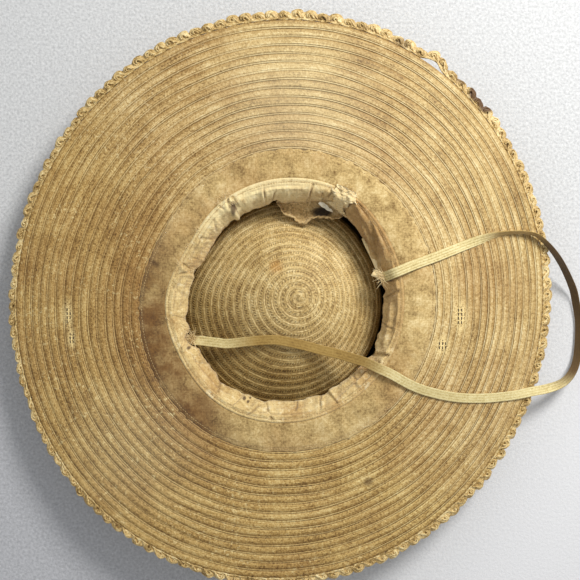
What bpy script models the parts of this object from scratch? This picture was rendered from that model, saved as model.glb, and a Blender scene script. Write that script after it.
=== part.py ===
"""A wide-brimmed sun hat of sewn straw braid, lying upside down on its crown.

Metres, with +Z up. The hat's underside faces up. The origin lies below the middle of the brim's
outline, on the surface that the crown rests on. Angles are degrees from +X towards +Y.
"""

import math
from collections import namedtuple

import bmesh
import bpy
from mathutils import Vector

# Walls and gaps
STRAW = 0.0015
FACING_CLOTH = 0.0010
BAND_CLOTH = 0.0011
GAP = 0.0003

# The opening's middle in plan, the height of the brim over it, and how the hat leans to the left
OPENING_MIDDLE = Vector((0.0036, -0.0018))
OPENING_HEIGHT = 0.0610
RISE_TO_RIGHT = 0.88

# The outline at the tips of the trim is an ellipse round the origin
OUTLINE_LONG = 0.2365
OUTLINE_SHORT = 0.2290
OUTLINE_TURN = 71.0

# The brim's rows, and the facets round it, each three scallops wide. Reach is 0 at the opening's edge,
# 1 at the facing's edge and 2 at the rim.
BRIM_ROWS = 15
FACING_ZONE_REACHES = (0.0, 0.2, 0.6, 1.0)
BRIM_BELOW_REACHES = (2.0, 1.7, 1.35, 1.0, 0.6, 0.0)
BRIM_FACETS = 46
BRIM_ROW_RELIEF = 0.0007
FLAT_RADIUS = 0.1035
DROOP_POWER = 1.35

# The scalloped braid round the rim
TRIM_WIDTH = 0.0088
TRIM_THICKNESS = 0.0020
SCALLOPS_PER_FACET = 3
SCALLOP_DEPTH = 0.0034
LOOSE_ANGLE = 58.0
LOOSE_SPREAD = 5.0
LOOSE_GAP = 0.0030

# The crown's rows, the smoothing of its section, and the middle of its pushed-in top, which lies to the
# right of the opening's
CROWN_MIDDLE = Vector((0.0153, 0.0017))
CROWN_FACETS = 24
CROWN_ROW = 0.0055
CROWN_ROW_RELIEF = 0.0006
CROWN_RIM = 0.0929
DOME_ROWS = 15
OUTER_WALL_ROWS = 9
CROWN_SMOOTHING = 6

# The sweatband's overlap on the brim, the drop of its lip and its gathers
BAND_OVERLAP = 0.0042
BAND_MARGIN = 0.0009
BAND_DROP = 0.0150
BAND_FACETS = 60
BAND_TURN = 0.36
GATHERS = 24
GATHER_DEPTH = 0.0005

# The torn flap below the lip, and the pale scrap on the band
FLAP_MIDDLE = 76.0
FLAP_SPREAD = 22.0
FLAP_REACH = 0.0145
FLAP_DROP = 0.0085
FLAP_FACETS = range(10, 16)
SCRAP_THICKNESS = 0.0012

# The chin strap, a flat tape, and its sewn ends
STRAP_WIDTH = 0.0078
STRAP_THICKNESS = 0.0010
END_THICKNESS = 0.0012

# Each sewn end from the strap outwards: how far along, its half width and its rise
End = namedtuple("End", "far half_width rise")
LEFT_END = (End(0.0, 0.0034, 0.0), End(0.0020, 0.0034, 0.0002), End(0.0040, 0.0030, 0.0008))
RIGHT_END = (End(0.0, 0.0036, 0.0), End(0.0036, 0.0044, 0.0006), End(0.0078, 0.0050, 0.0006))

# Every 30 degrees: the facing's outer radius, the band's outer radius, its lip's radius and the rim's fall
Station = namedtuple("Station", "facing band lip droop")
STATIONS = (
    Station(0.1208, 0.0952, 0.0809, 0.046),
    Station(0.1220, 0.0968, 0.0813, 0.038),
    Station(0.1232, 0.1010, 0.0858, 0.018),
    Station(0.1224, 0.0992, 0.0809, 0.010),
    Station(0.1176, 0.0952, 0.0793, 0.012),
    Station(0.1128, 0.0896, 0.0744, 0.018),
    Station(0.1168, 0.0960, 0.0793, 0.020),
    Station(0.1200, 0.0952, 0.0801, 0.017),
    Station(0.1216, 0.0976, 0.0825, 0.012),
    Station(0.1200, 0.0968, 0.0813, 0.014),
    Station(0.1200, 0.0952, 0.0805, 0.026),
    Station(0.1200, 0.0952, 0.0815, 0.041),
)

# Tucks in the sweatband: where, how wide, how far the lip pulls outwards and how far it lifts
Tuck = namedtuple("Tuck", "angle spread pull lift")
TUCKS = (
    Tuck(6.0, 4.0, 0.0016, 0.0010),
    Tuck(15.0, 5.0, 0.0036, -0.0020),
    Tuck(68.0, 11.0, 0.0030, 0.0022),
    Tuck(95.0, 5.0, 0.0030, 0.0015),
    Tuck(118.0, 6.0, -0.0014, 0.0030),
    Tuck(161.0, 5.0, 0.0022, 0.0014),
    Tuck(190.0, 7.0, 0.0022, 0.0018),
    Tuck(202.0, 5.0, 0.0034, -0.0010),
    Tuck(232.0, 6.0, 0.0016, 0.0020),
    Tuck(258.0, 6.0, 0.0012, 0.0022),
    Tuck(293.0, 6.0, 0.0020, 0.0018),
    Tuck(331.0, 6.0, 0.0034, 0.0016),
)

# Where the scrap lies on the band: the band's reach, and the scrap's edges and middle in degrees
Scrap = namedtuple("Scrap", "reach start middle end crumple")
SCRAPS = (
    Scrap(-0.06, 57.6, 60.0, 62.0, 1.2),
    Scrap(0.12, 56.4, 60.0, 64.4, 1.9),
    Scrap(0.24, 56.8, 60.0, 65.2, 2.4),
    Scrap(BAND_TURN, 57.2, 60.0, 65.0, 1.7),
    Scrap(0.70, 57.8, 60.0, 64.2, 2.2),
    Scrap(1.02, 58.6, 60.0, 63.0, 1.2),
)

# The strap's way from the left end: over the pushed-in crown, the band, the brim and the rim, along the
# surface below, and back. Stand is the tape's turn from flat towards the hat's side, in degrees.
Lay = namedtuple("Lay", "x y z stand")
STRAP_ROUTE = (
    Lay(-0.0715, -0.0336, 0.0416, 0),
    Lay(-0.0620, -0.0343, 0.0432, 0),
    Lay(-0.0520, -0.0353, 0.0449, 0),
    Lay(-0.0425, -0.0361, 0.0466, 0),
    Lay(-0.0288, -0.0345, 0.0490, 0),
    Lay(-0.0194, -0.0335, 0.0508, 0),
    Lay(-0.0111, -0.0328, 0.0524, 0),
    Lay(-0.0021, -0.0327, 0.0539, 0),
    Lay(0.0092, -0.0347, 0.0549, 0),
    Lay(0.0206, -0.0373, 0.0550, 0),
    Lay(0.0344, -0.0409, 0.0552, 0),
    Lay(0.0481, -0.0441, 0.0568, 0),
    Lay(0.0585, -0.0471, 0.0598, 0),
    Lay(0.0684, -0.0498, 0.0650, 0),
    Lay(0.0783, -0.0541, 0.0714, 0),
    Lay(0.0883, -0.0586, 0.0722, 0),
    Lay(0.1036, -0.0672, 0.0682, -6),
    Lay(0.1192, -0.0734, 0.0634, -8),
    Lay(0.1424, -0.0788, 0.0562, -8),
    Lay(0.1671, -0.0807, 0.0475, -8),
    Lay(0.1928, -0.0798, 0.0374, -7),
    Lay(0.2100, -0.0776, 0.0306, -4),
    Lay(0.2258, -0.0753, 0.0262, 10),
    Lay(0.2415, -0.0710, 0.0185, 35),
    Lay(0.2522, -0.0623, 0.0110, 60),
    Lay(0.2579, -0.0483, 0.0066, 75),
    Lay(0.2598, -0.0226, 0.0048, 80),
    Lay(0.2567, -0.0018, 0.0052, 80),
    Lay(0.2528, 0.0104, 0.0085, 80),
    Lay(0.2425, 0.0266, 0.0175, 78),
    Lay(0.2314, 0.0387, 0.0280, 75),
    Lay(0.2206, 0.0482, 0.0350, 66),
    Lay(0.2121, 0.0537, 0.0378, 50),
    Lay(0.1997, 0.0553, 0.0416, 30),
    Lay(0.1827, 0.0537, 0.0474, 12),
    Lay(0.1658, 0.0495, 0.0532, 0),
    Lay(0.1497, 0.0440, 0.0588, -4),
    Lay(0.1261, 0.0348, 0.0660, -4),
    Lay(0.1080, 0.0283, 0.0704, -2),
    Lay(0.0960, 0.0235, 0.0731, 0),
    Lay(0.0905, 0.0212, 0.0724, 0),
    Lay(0.0868, 0.0196, 0.0690, 0),
    Lay(0.0832, 0.0181, 0.0634, 0),
)

# The crown's outer side from the middle of its pushed-in top, down to the fold that the hat lies on and
# up its wall: radius and height
CROWN_OUTSIDE = (
    (0.0000, 0.0575),
    (0.0120, 0.0568),
    (0.0250, 0.0540),
    (0.0380, 0.0492),
    (0.0500, 0.0430),
    (0.0620, 0.0355),
    (0.0740, 0.0280),
    (0.0785, 0.0215),
    (0.0800, 0.0120),
    (0.0803, 0.0040),
    (0.0815, 0.0000),
    (0.0875, 0.0000),
    (0.0895, 0.0030),
    (0.0903, 0.0100),
    (0.0912, 0.0250),
    (0.0920, 0.0400),
)
WALL_START = 13

# The crown's inner side in the fold, from its pushed-in top to its wall
CROWN_FOLD = (
    (0.0798, 0.0235),
    (0.0815, 0.0125),
    (0.0818, 0.0050),
    (0.0828, 0.0016),
    (0.0864, 0.0016),
    (0.0881, 0.0045),
    (0.0888, 0.0110),
    (0.0897, 0.0260),
    (0.0905, 0.0410),
)


def around(column, angle):
    """One column of the stations at an angle, on a smooth closed curve through its values."""
    place = angle / (360.0 / len(STATIONS))
    row = math.floor(place)
    part = place - row
    before, here, after, beyond = (
        getattr(STATIONS[(row + step) % len(STATIONS)], column) for step in (-1, 0, 1, 2)
    )
    curve = 3.0 * (here - after) + beyond - before
    bend = 2.0 * before - 5.0 * here + 4.0 * after - beyond
    return here + 0.5 * part * (after - before + part * (bend + part * curve))


def hump(angle, middle, spread):
    """1 at the middle, falling smoothly to 0 at the spread on either side."""
    off = (angle - middle + 180.0) % 360.0 - 180.0
    if abs(off) >= spread:
        return 0.0
    return 0.5 + 0.5 * math.cos(math.pi * off / spread)


def direction(angle):
    return Vector((math.cos(math.radians(angle)), math.sin(math.radians(angle))))


def outline_radius(angle):
    """Distance from the opening's middle to the outline of the trim's tips."""
    turn = math.radians(OUTLINE_TURN)
    along = Vector((math.cos(turn), math.sin(turn)))
    across = Vector((-along.y, along.x))
    way = direction(angle)
    heading = Vector((way.dot(along) / OUTLINE_LONG, way.dot(across) / OUTLINE_SHORT))
    start = Vector((OPENING_MIDDLE.dot(along) / OUTLINE_LONG, OPENING_MIDDLE.dot(across) / OUTLINE_SHORT))
    square = heading.dot(heading)
    half = heading.dot(start)
    return (-half + math.sqrt(half * half - square * (start.dot(start) - 1.0))) / square


def rim_radius(angle):
    return outline_radius(angle) - TRIM_WIDTH


def opening_radius(angle):
    return around("band", angle) - BAND_OVERLAP


def lifted(height, x):
    """Heights grow to the right, because the hat leans to the left."""
    return height * (1.0 + RISE_TO_RIGHT * x)


def on_hat(angle, radius, height):
    """A place at a radius from the opening's middle."""
    plan = OPENING_MIDDLE + direction(angle) * radius
    return Vector((plan.x, plan.y, height))


def brim_level(angle, radius):
    """Height of the brim's lower side, flat near the opening and drooping towards the rim."""
    x = OPENING_MIDDLE.x + direction(angle).x * radius
    share = max(0.0, (radius - FLAT_RADIUS) / (rim_radius(angle) - FLAT_RADIUS))
    return lifted(OPENING_HEIGHT, x) - around("droop", angle) * share ** DROOP_POWER


def brim_radius(angle, reach):
    """Radius at a reach: 0 is the opening's edge, 1 the facing's edge and 2 the rim."""
    opening = opening_radius(angle)
    facing = around("facing", angle)
    if reach <= 1.0:
        return opening + (facing - opening) * reach
    return facing + (rim_radius(angle) - facing) * (reach - 1.0)


def brim_place(angle, reach, height):
    radius = brim_radius(angle, reach)
    return on_hat(angle, radius, brim_level(angle, radius) + height)


def facing_place(angle, reach, height):
    """The facing runs from just outside the sweatband to its own edge, on the brim."""
    inner = around("band", angle) + BAND_MARGIN
    outer = around("facing", angle)
    radius = inner + (outer - inner) * reach
    return on_hat(angle, radius, brim_level(angle, radius) + height)


def band_place(angle, reach, height):
    """Reach 0 is the sweatband's outer edge, BAND_TURN its bend over the brim and 1 its lip."""
    pull = sum(tuck.pull * hump(angle, tuck.angle, tuck.spread) for tuck in TUCKS)
    lift = sum(tuck.lift * hump(angle, tuck.angle, tuck.spread) for tuck in TUCKS)
    hang = max(0.0, (reach - BAND_TURN) / (1.0 - BAND_TURN))
    gather = GATHER_DEPTH * math.sin(math.radians(angle) * GATHERS)
    outer = around("band", angle)
    lip = around("lip", angle) + (pull + gather) * hang
    radius = outer + (lip - outer) * reach
    x = OPENING_MIDDLE.x + direction(angle).x * radius
    level = lifted(OPENING_HEIGHT, x) + STRAW + GAP
    return on_hat(angle, radius, level + height - (BAND_DROP - lift) * hang)


def crown_place(angle, radius, height):
    """The crown is round and off the middle at its top, and follows the opening at its rim."""
    share = min(1.0, radius / CROWN_RIM)
    ease = share * share * (3.0 - 2.0 * share)
    oval = (opening_radius(angle) + GAP) / CROWN_RIM
    middle = CROWN_MIDDLE.lerp(OPENING_MIDDLE, ease)
    plan = middle + direction(angle) * (radius * (1.0 + (oval - 1.0) * ease))
    return Vector((plan.x, plan.y, lifted(height, plan.x)))


def collection(name):
    made = bpy.data.collections.new(name)
    bpy.context.scene.collection.children.link(made)
    return made


def finish(piece, colour, roughness):
    """Give a piece its own plain material and smooth shading."""
    material = bpy.data.materials.new(piece.name)
    material.use_nodes = True
    shader = material.node_tree.nodes["Principled BSDF"]
    shader.inputs["Base Color"].default_value = (*colour, 1.0)
    shader.inputs["Roughness"].default_value = roughness
    shader.inputs["Metallic"].default_value = 0.0
    piece.data.materials.append(material)
    return piece


def piece_from(work, name, hat):
    """Turn a bmesh into a named piece of the hat."""
    bmesh.ops.recalc_face_normals(work, faces=work.faces)
    if work.calc_volume(signed=True) < 0.0:
        bmesh.ops.reverse_faces(work, faces=work.faces)
    mesh = bpy.data.meshes.new(name)
    work.to_mesh(mesh)
    work.free()
    mesh.shade_smooth()
    mesh.set_sharp_from_angle(angle=math.radians(35.0))
    piece = bpy.data.objects.new(name, mesh)
    hat.objects.link(piece)
    return piece


def turned(name, section, facets, place, hat):
    """Turn a section of (reach, height) round the Z axis, then put each point where place says."""
    work = bmesh.new()
    points = [work.verts.new((reach, 0.0, height)) for reach, height in section]
    pairs = list(zip(points, points[1:]))
    if section[0][0] > 0.0:
        pairs.append((points[-1], points[0]))
    edges = [work.edges.new(pair) for pair in pairs]
    bmesh.ops.spin(
        work, geom=points + edges, cent=(0.0, 0.0, 0.0), axis=(0.0, 0.0, 1.0),
        angle=math.tau, steps=facets, use_merge=True,
    )
    bmesh.ops.remove_doubles(work, verts=work.verts, dist=1e-6)
    for point in work.verts:
        angle = math.degrees(math.atan2(point.co.y, point.co.x)) % 360.0
        point.co = place(angle, math.hypot(point.co.x, point.co.y), point.co.z)
    return piece_from(work, name, hat)


def lofted(name, sections, hat, ring=False):
    """Skin a row of like sections, closed on itself as a ring or capped at both ends."""
    work = bmesh.new()
    rows = [[work.verts.new(point) for point in section] for section in sections]
    pairs = list(zip(rows, rows[1:]))
    if ring:
        pairs.append((rows[-1], rows[0]))
    for first, second in pairs:
        for side in range(len(first)):
            after = (side + 1) % len(first)
            work.faces.new((first[side], first[after], second[after], second[side]))
    if not ring:
        work.faces.new(rows[0])
        work.faces.new(rows[-1])
    return piece_from(work, name, hat)


def along(points, distance):
    """The place and the outward normal at a distance along a line of (radius, height) points."""
    for start, end in zip(points, points[1:]):
        way = Vector(end) - Vector(start)
        if distance <= way.length or end == points[-1]:
            break
        distance -= way.length
    way.normalize()
    return Vector(start) + way * distance, Vector((way.y, -way.x))


def rounded(points, steps):
    """A smooth line through a few points, with some steps between each two."""
    padded = [points[0], *points, points[-1]]
    line = []
    for before, here, after, beyond in zip(padded, padded[1:], padded[2:], padded[3:]):
        before, here, after, beyond = (Vector(point) for point in (before, here, after, beyond))
        for step in range(steps):
            part = step / steps
            curve = 3.0 * (here - after) + beyond - before
            bend = 2.0 * before - 5.0 * here + 4.0 * after - beyond
            line.append(tuple(here + 0.5 * part * (after - before + part * (bend + part * curve))))
    line.append(tuple(points[-1]))
    return line


def length_of(points):
    return sum((Vector(end) - Vector(start)).length for start, end in zip(points, points[1:]))


def rowed(points, start, end, side):
    """Ridges one row wide along a line, raised on the side of the normal that side names."""
    rows = round((end - start) / CROWN_ROW)
    ridges = []
    for row in range(rows):
        for part, relief in ((0.0, 0.0), (0.5, CROWN_ROW_RELIEF)):
            place, normal = along(points, start + (row + part) * (end - start) / rows)
            ridges.append(tuple(place + normal * (side * relief)))
    return ridges


def make_crown(hat):
    """A straw crown with its top pushed in: a ridged dome inside, a flat fold below and a ridged wall."""
    top = OPENING_HEIGHT - GAP
    outside = rounded([*CROWN_OUTSIDE, (CROWN_RIM + STRAW, top)], CROWN_SMOOTHING)
    dome = rounded(CROWN_OUTSIDE[:WALL_START], CROWN_SMOOTHING)
    inside = []
    for step in range(len(dome) + 1):
        place, normal = along(dome, length_of(dome) * step / len(dome))
        inside.append((max(0.0, place.x - normal.x * STRAW), place.y - normal.y * STRAW))
    inner = rowed(inside, 0.0, DOME_ROWS * CROWN_ROW, -1.0)
    inner[0] = (0.0, inner[0][1])
    inner += [*CROWN_FOLD, (CROWN_RIM, top)]
    wall_start = length_of(outside) - OUTER_WALL_ROWS * CROWN_ROW
    outer = rowed(outside, wall_start, length_of(outside), 1.0)
    outer.append((CROWN_RIM + STRAW, top))
    below = CROWN_OUTSIDE[:WALL_START + 1]
    piece = turned("crown", inner + outer[::-1] + [*below[::-1]], CROWN_FACETS, crown_place, hat)
    return finish(piece, (0.50, 0.36, 0.17), 0.75)


def make_brim(hat):
    """A straw ring: plain under the facing, then one ridge for each row, and plain below."""
    top = [(1.0 + reach, STRAW) for reach in FACING_ZONE_REACHES]
    for row in range(BRIM_ROWS):
        for part, relief in ((0.5, BRIM_ROW_RELIEF), (1.0, 0.0)):
            top.append((2.0 + (row + part) / BRIM_ROWS, STRAW + relief))
    below = [(1.0 + reach, 0.0) for reach in BRIM_BELOW_REACHES]
    piece = turned(
        "brim", top + below, BRIM_FACETS,
        lambda angle, reach, height: brim_place(angle, reach - 1.0, height), hat,
    )
    return finish(piece, (0.55, 0.40, 0.20), 0.75)


def make_facing(hat):
    """A smooth cloth ring on the brim, with its outer edge turned under."""
    low = STRAW + GAP
    high = low + FACING_CLOTH
    section = [(1.0, high), (1.5, high), (2.0, high), (2.0, low), (1.5, low), (1.0, low)]
    piece = turned(
        "brim_facing", section, BRIM_FACETS,
        lambda angle, reach, height: facing_place(angle, reach - 1.0, height), hat,
    )
    return finish(piece, (0.53, 0.38, 0.19), 0.85)


def make_trim(hat):
    """A scalloped braid that meets the rim edge to edge, with a loose stretch at the upper right."""
    steps = 2 * SCALLOPS_PER_FACET
    corners = [360.0 * facet / BRIM_FACETS for facet in range(BRIM_FACETS + 1)]
    low = Vector((0.0, 0.0, 0.5 * (STRAW - TRIM_THICKNESS)))
    high = low + Vector((0.0, 0.0, TRIM_THICKNESS))
    sections = []
    for first, second in zip(corners, corners[1:]):
        start = brim_place(first, 2.0, 0.0)
        end = brim_place(second, 2.0, 0.0)
        for step in range(steps):
            angle = first + (second - first) * step / steps
            inner = start.lerp(end, step / steps)
            outward = on_hat(angle, 1.0, 0.0) - on_hat(angle, 0.0, 0.0)
            fall = brim_level(angle, rim_radius(angle)) - brim_level(angle, rim_radius(angle) - TRIM_WIDTH)
            way = outward + Vector((0.0, 0.0, fall / TRIM_WIDTH))
            width = TRIM_WIDTH - (SCALLOP_DEPTH if step % 2 else 0.0)
            near = inner + way * (GAP + LOOSE_GAP * hump(angle, LOOSE_ANGLE, LOOSE_SPREAD))
            far = inner + way * width
            sections.append((near + high, far + high, far + low, near + low))
    piece = lofted("edge_trim", sections, hat, ring=True)
    return finish(piece, (0.60, 0.45, 0.23), 0.8)


def make_sweatband(hat):
    """A cotton band: a raised stitched edge on the brim, a bend, and a gathered lip below."""
    section = [
        (1.00, BAND_CLOTH),
        (1.12, BAND_CLOTH * 1.9),
        (1.22, BAND_CLOTH * 1.1),
        (1.00 + BAND_TURN, BAND_CLOTH * 1.4),
        (2.00, BAND_CLOTH * 1.5),
        (2.00, 0.0),
        (1.00 + BAND_TURN, 0.0),
        (1.00, 0.0),
    ]
    piece = turned(
        "sweatband", section, BAND_FACETS,
        lambda angle, reach, height: band_place(angle, reach - 1.0, height), hat,
    )
    return finish(piece, (0.62, 0.48, 0.26), 0.9)


def make_flap(hat):
    """A torn flap that hangs inwards and down from the lip, deepest at its middle."""
    sections = []
    for facet in FLAP_FACETS:
        angle = 360.0 * facet / BAND_FACETS
        share = hump(angle, FLAP_MIDDLE, FLAP_SPREAD)
        lip = band_place(angle, 1.0, 0.0)
        inward = on_hat(angle, 0.0, 0.0) - on_hat(angle, 1.0, 0.0)
        down = Vector((0.0, 0.0, -1.0))
        top = lip + inward * GAP + down * GAP
        middle = top + inward * (0.62 * FLAP_REACH * share + 0.0010) + down * (0.40 * FLAP_DROP)
        low = top + inward * (FLAP_REACH * share + 0.0004) + down * FLAP_DROP
        outer = [top, middle, low]
        inner = [point + down * BAND_CLOTH * 1.3 for point in outer]
        sections.append([*outer, *inner[::-1]])
    piece = lofted("band_flap", sections, hat)
    return finish(piece, (0.42, 0.29, 0.13), 0.9)


def make_scrap(hat):
    """A crumpled end of pale tape that lies across the band, from its outer edge to its lip."""
    sections = []
    for scrap in SCRAPS:
        low = BAND_CLOTH * 1.9 + 3 * GAP
        high = low + SCRAP_THICKNESS
        sections.append([
            band_place(scrap.start, scrap.reach, low),
            band_place(scrap.middle, scrap.reach, low),
            band_place(scrap.end, scrap.reach, low),
            band_place(scrap.end, scrap.reach, high),
            band_place(scrap.middle, scrap.reach, low + SCRAP_THICKNESS * scrap.crumple),
            band_place(scrap.start, scrap.reach, high),
        ])
    piece = lofted("torn_scrap", sections, hat)
    return finish(piece, (0.72, 0.62, 0.42), 0.9)


def make_strap(hat):
    """A flat tape along its route, swept by a curve whose tilt turns it from flat to its edge."""
    points = rounded(STRAP_ROUTE, 2)
    curve = bpy.data.curves.new("chin_strap", 'CURVE')
    curve.dimensions = '3D'
    curve.twist_mode = 'Z_UP'
    curve.extrude = (STRAP_WIDTH - STRAP_THICKNESS) / 2
    curve.bevel_depth = STRAP_THICKNESS / 2
    curve.bevel_resolution = 0
    curve.use_fill_caps = True
    line = curve.splines.new('POLY')
    line.points.add(len(points) - 1)
    for point, (x, y, z, stand) in zip(line.points, points):
        point.co = (x, y, z, 1.0)
        point.tilt = math.radians(90.0 - stand)
    piece = bpy.data.objects.new("chin_strap", curve)
    hat.objects.link(piece)
    return finish(piece, (0.66, 0.52, 0.28), 0.7)


def strap_end(name, last, before, ends, hat):
    """A flat sewn end that carries on from the strap's last route point, away from the one before."""
    way = (Vector(last[:3]) - Vector(before[:3])).normalized()
    across = Vector((-way.y, way.x, 0.0)).normalized()
    lean = way.cross(across)
    deep = lean * (END_THICKNESS / 2)
    sections = []
    for end in ends:
        middle = Vector(last[:3]) + way * (GAP + end.far) + lean * end.rise
        wide = across * end.half_width
        sections.append([middle - wide - deep, middle + wide - deep, middle + wide + deep, middle - wide + deep])
    return lofted(name, sections, hat)


def make_strap_ends(hat):
    """The left end goes in under the sweatband's lip, and the right end frays above it."""
    left = strap_end("strap_end_left", STRAP_ROUTE[0], STRAP_ROUTE[1], LEFT_END, hat)
    right = strap_end("strap_end_right", STRAP_ROUTE[-1], STRAP_ROUTE[-2], RIGHT_END, hat)
    finish(left, (0.45, 0.32, 0.15), 0.9)
    finish(right, (0.58, 0.45, 0.24), 0.9)


def main():
    for old in list(bpy.data.objects):
        bpy.data.objects.remove(old, do_unlink=True)
    hat = collection("sun_hat")
    make_crown(hat)
    make_brim(hat)
    make_facing(hat)
    make_sweatband(hat)
    make_trim(hat)
    make_flap(hat)
    make_scrap(hat)
    make_strap(hat)
    make_strap_ends(hat)


main()
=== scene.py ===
"""The looks of a wide-brimmed sun hat of sewn straw braid that lies upside down on its crown.

Metres, with +Z up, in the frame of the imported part. Angles are degrees from +X towards +Y, seen
from above, round the middle of the head opening.
"""

import math
from collections import namedtuple
from contextlib import contextmanager

import bmesh
import bpy
import numpy as np
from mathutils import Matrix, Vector


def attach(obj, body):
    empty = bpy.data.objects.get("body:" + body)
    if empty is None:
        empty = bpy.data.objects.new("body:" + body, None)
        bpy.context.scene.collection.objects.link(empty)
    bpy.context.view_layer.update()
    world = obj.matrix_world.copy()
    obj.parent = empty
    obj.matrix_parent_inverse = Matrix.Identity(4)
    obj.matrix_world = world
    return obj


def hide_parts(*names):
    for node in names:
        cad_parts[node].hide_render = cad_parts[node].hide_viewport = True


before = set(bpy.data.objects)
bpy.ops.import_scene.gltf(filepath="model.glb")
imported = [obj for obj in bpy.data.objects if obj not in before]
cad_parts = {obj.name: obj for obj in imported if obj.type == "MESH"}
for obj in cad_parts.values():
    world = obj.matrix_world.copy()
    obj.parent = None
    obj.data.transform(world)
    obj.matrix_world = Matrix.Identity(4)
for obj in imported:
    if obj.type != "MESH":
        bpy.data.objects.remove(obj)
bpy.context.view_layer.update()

# The straw's thickness and the gap of a seam, the head opening, how much higher each metre to the right
# lies, and the oval outline with its turn in degrees
STRAW = 0.0015
GAP = 0.0003
OPENING_MIDDLE = (0.0036, -0.0018)
OPENING_HEIGHT = 0.0610
RISE_TO_RIGHT = 0.88
OUTLINE_LONG = 0.2365
OUTLINE_SHORT = 0.2290
OUTLINE_TURN = 71.0

# The brim and the facing under its inner part: their rows, the radius where the droop starts, and its curve
BRIM_ROWS = 15
FACING_ROWS = 5
FACING_WIDTH = 0.027
FLAT_RADIUS = 0.1035
DROOP_POWER = 1.35

# The trim, and the place where it is loose: where, how wide and how far off the rim
TRIM_WIDTH = 0.0088
SCALLOPS = 138
LOOSE_ANGLE = 58.0
LOOSE_SPREAD = 3.4
LOOSE_GAP = 0.0044

# The crown's middle, row and rim. Its dome shifts most at its edge, and not past its end. The shift fades
# over a reach inwards and below a low height. The fold's inside gets painted shade below a height, over a
# fall.
CROWN_MIDDLE = (0.0153, 0.0017)
CROWN_ROW = 0.0055
CROWN_RIM = 0.0929
DOME_EDGE = 0.0772
DOME_END = 0.0855
DOME_REACH = 0.030
DOME_LOW = 0.0300
FOLD_SHADE_TOP = 0.0290
FOLD_SHADE_FALL = 0.0110

# The sweatband: how far it lies past the opening's edge, where the facing starts from its outer edge, how
# far its lip hangs down, the reach where it bends, its gathers, and where and how it stays flat for longer
BAND_OVERLAP = 0.0042
BAND_MARGIN = -0.0010
BAND_DROP = 0.0150
BAND_TURN = 0.36
GATHER_DEPTH = 0.0004
TOP_ANGLE = 98.0
TOP_SPREAD = 62.0
TOP_BEND = 1.7

# The strap's tape
STRAP_WIDTH = 0.0078
STRAP_THICKNESS = 0.0010

# Small relief: how far the brim's rows stray sideways and up, how high the facing stands with its puckers
# and waves, the band's gathers and crumple, the trim's two sides with its knobs and their dimples, and the
# radius of the cords at its foot
BRIM_STRAY = 0.00045
BRIM_WAVE = 0.00040
FACING_HEIGHT = 0.0010
FACING_PUCKER = 0.00020
FACING_WAVE = 0.00030
BAND_GATHER = 0.00035
BAND_CRUMPLE = 0.00012
TRIM_TOP = 0.0007
TRIM_LOW = -0.0006
KNOB_BULGE = 0.0010
KNOB_DIMPLE = 0.0011
CORD_RADIUS = 0.00060

# How finely the round pieces are divided
BRIM_STEPS = 480
CROWN_STEPS = 300
FACING_STEPS = 480
BAND_STEPS = 900

# The length of a stitch, how far the stitches of each next row are shifted, the fewest in a turn of the
# crown's braid, and the marks' unit on strands
STITCH = 0.0022
STITCH_SHIFT = 0.618
FEWEST_STITCHES = 4.0
MILLIMETRES = 1000.0

# Every 30 degrees: the facing's outer radius, the band's outer radius, its lip's radius and the rim's fall
Station = namedtuple("Station", "facing band lip droop")
STATIONS = (
    Station(0.1208, 0.0952, 0.0809, 0.046),
    Station(0.1220, 0.0968, 0.0813, 0.038),
    Station(0.1232, 0.1010, 0.0858, 0.018),
    Station(0.1224, 0.0992, 0.0809, 0.010),
    Station(0.1176, 0.0952, 0.0793, 0.012),
    Station(0.1128, 0.0896, 0.0744, 0.018),
    Station(0.1168, 0.0960, 0.0793, 0.020),
    Station(0.1200, 0.0952, 0.0801, 0.017),
    Station(0.1216, 0.0976, 0.0825, 0.012),
    Station(0.1200, 0.0968, 0.0813, 0.014),
    Station(0.1200, 0.0952, 0.0805, 0.026),
    Station(0.1200, 0.0952, 0.0815, 0.041),
)

# How far the crown's dome leaves its round shape: outwards to the lower left, inwards at the upper right,
# and down at the lower left
Shift = namedtuple("Shift", "amount angle spread power")
DOME_SPREAD = Shift(0.0080, 240.0, 125.0, 0.7)
DOME_TUCK = Shift(-0.0035, 48.0, 55.0, 1.0)
DOME_SINK = Shift(-0.0030, 232.0, 120.0, 1.0)

# Tucks in the sweatband: where, how wide, how far the lip pulls outwards and how far it lifts
Tuck = namedtuple("Tuck", "angle spread pull lift")
TUCKS = (
    Tuck(6.0, 4.0, 0.0016, 0.0010),
    Tuck(15.0, 5.0, 0.0036, -0.0020),
    Tuck(68.0, 11.0, 0.0030, 0.0022),
    Tuck(95.0, 5.0, 0.0030, 0.0015),
    Tuck(118.0, 6.0, -0.0014, 0.0030),
    Tuck(161.0, 5.0, 0.0022, 0.0014),
    Tuck(190.0, 7.0, 0.0022, 0.0018),
    Tuck(202.0, 8.0, 0.0066, -0.0010),
    Tuck(232.0, 6.0, 0.0016, 0.0020),
    Tuck(258.0, 6.0, 0.0012, 0.0022),
    Tuck(293.0, 6.0, 0.0020, 0.0018),
    Tuck(331.0, 6.0, 0.0034, 0.0016),
)

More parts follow.
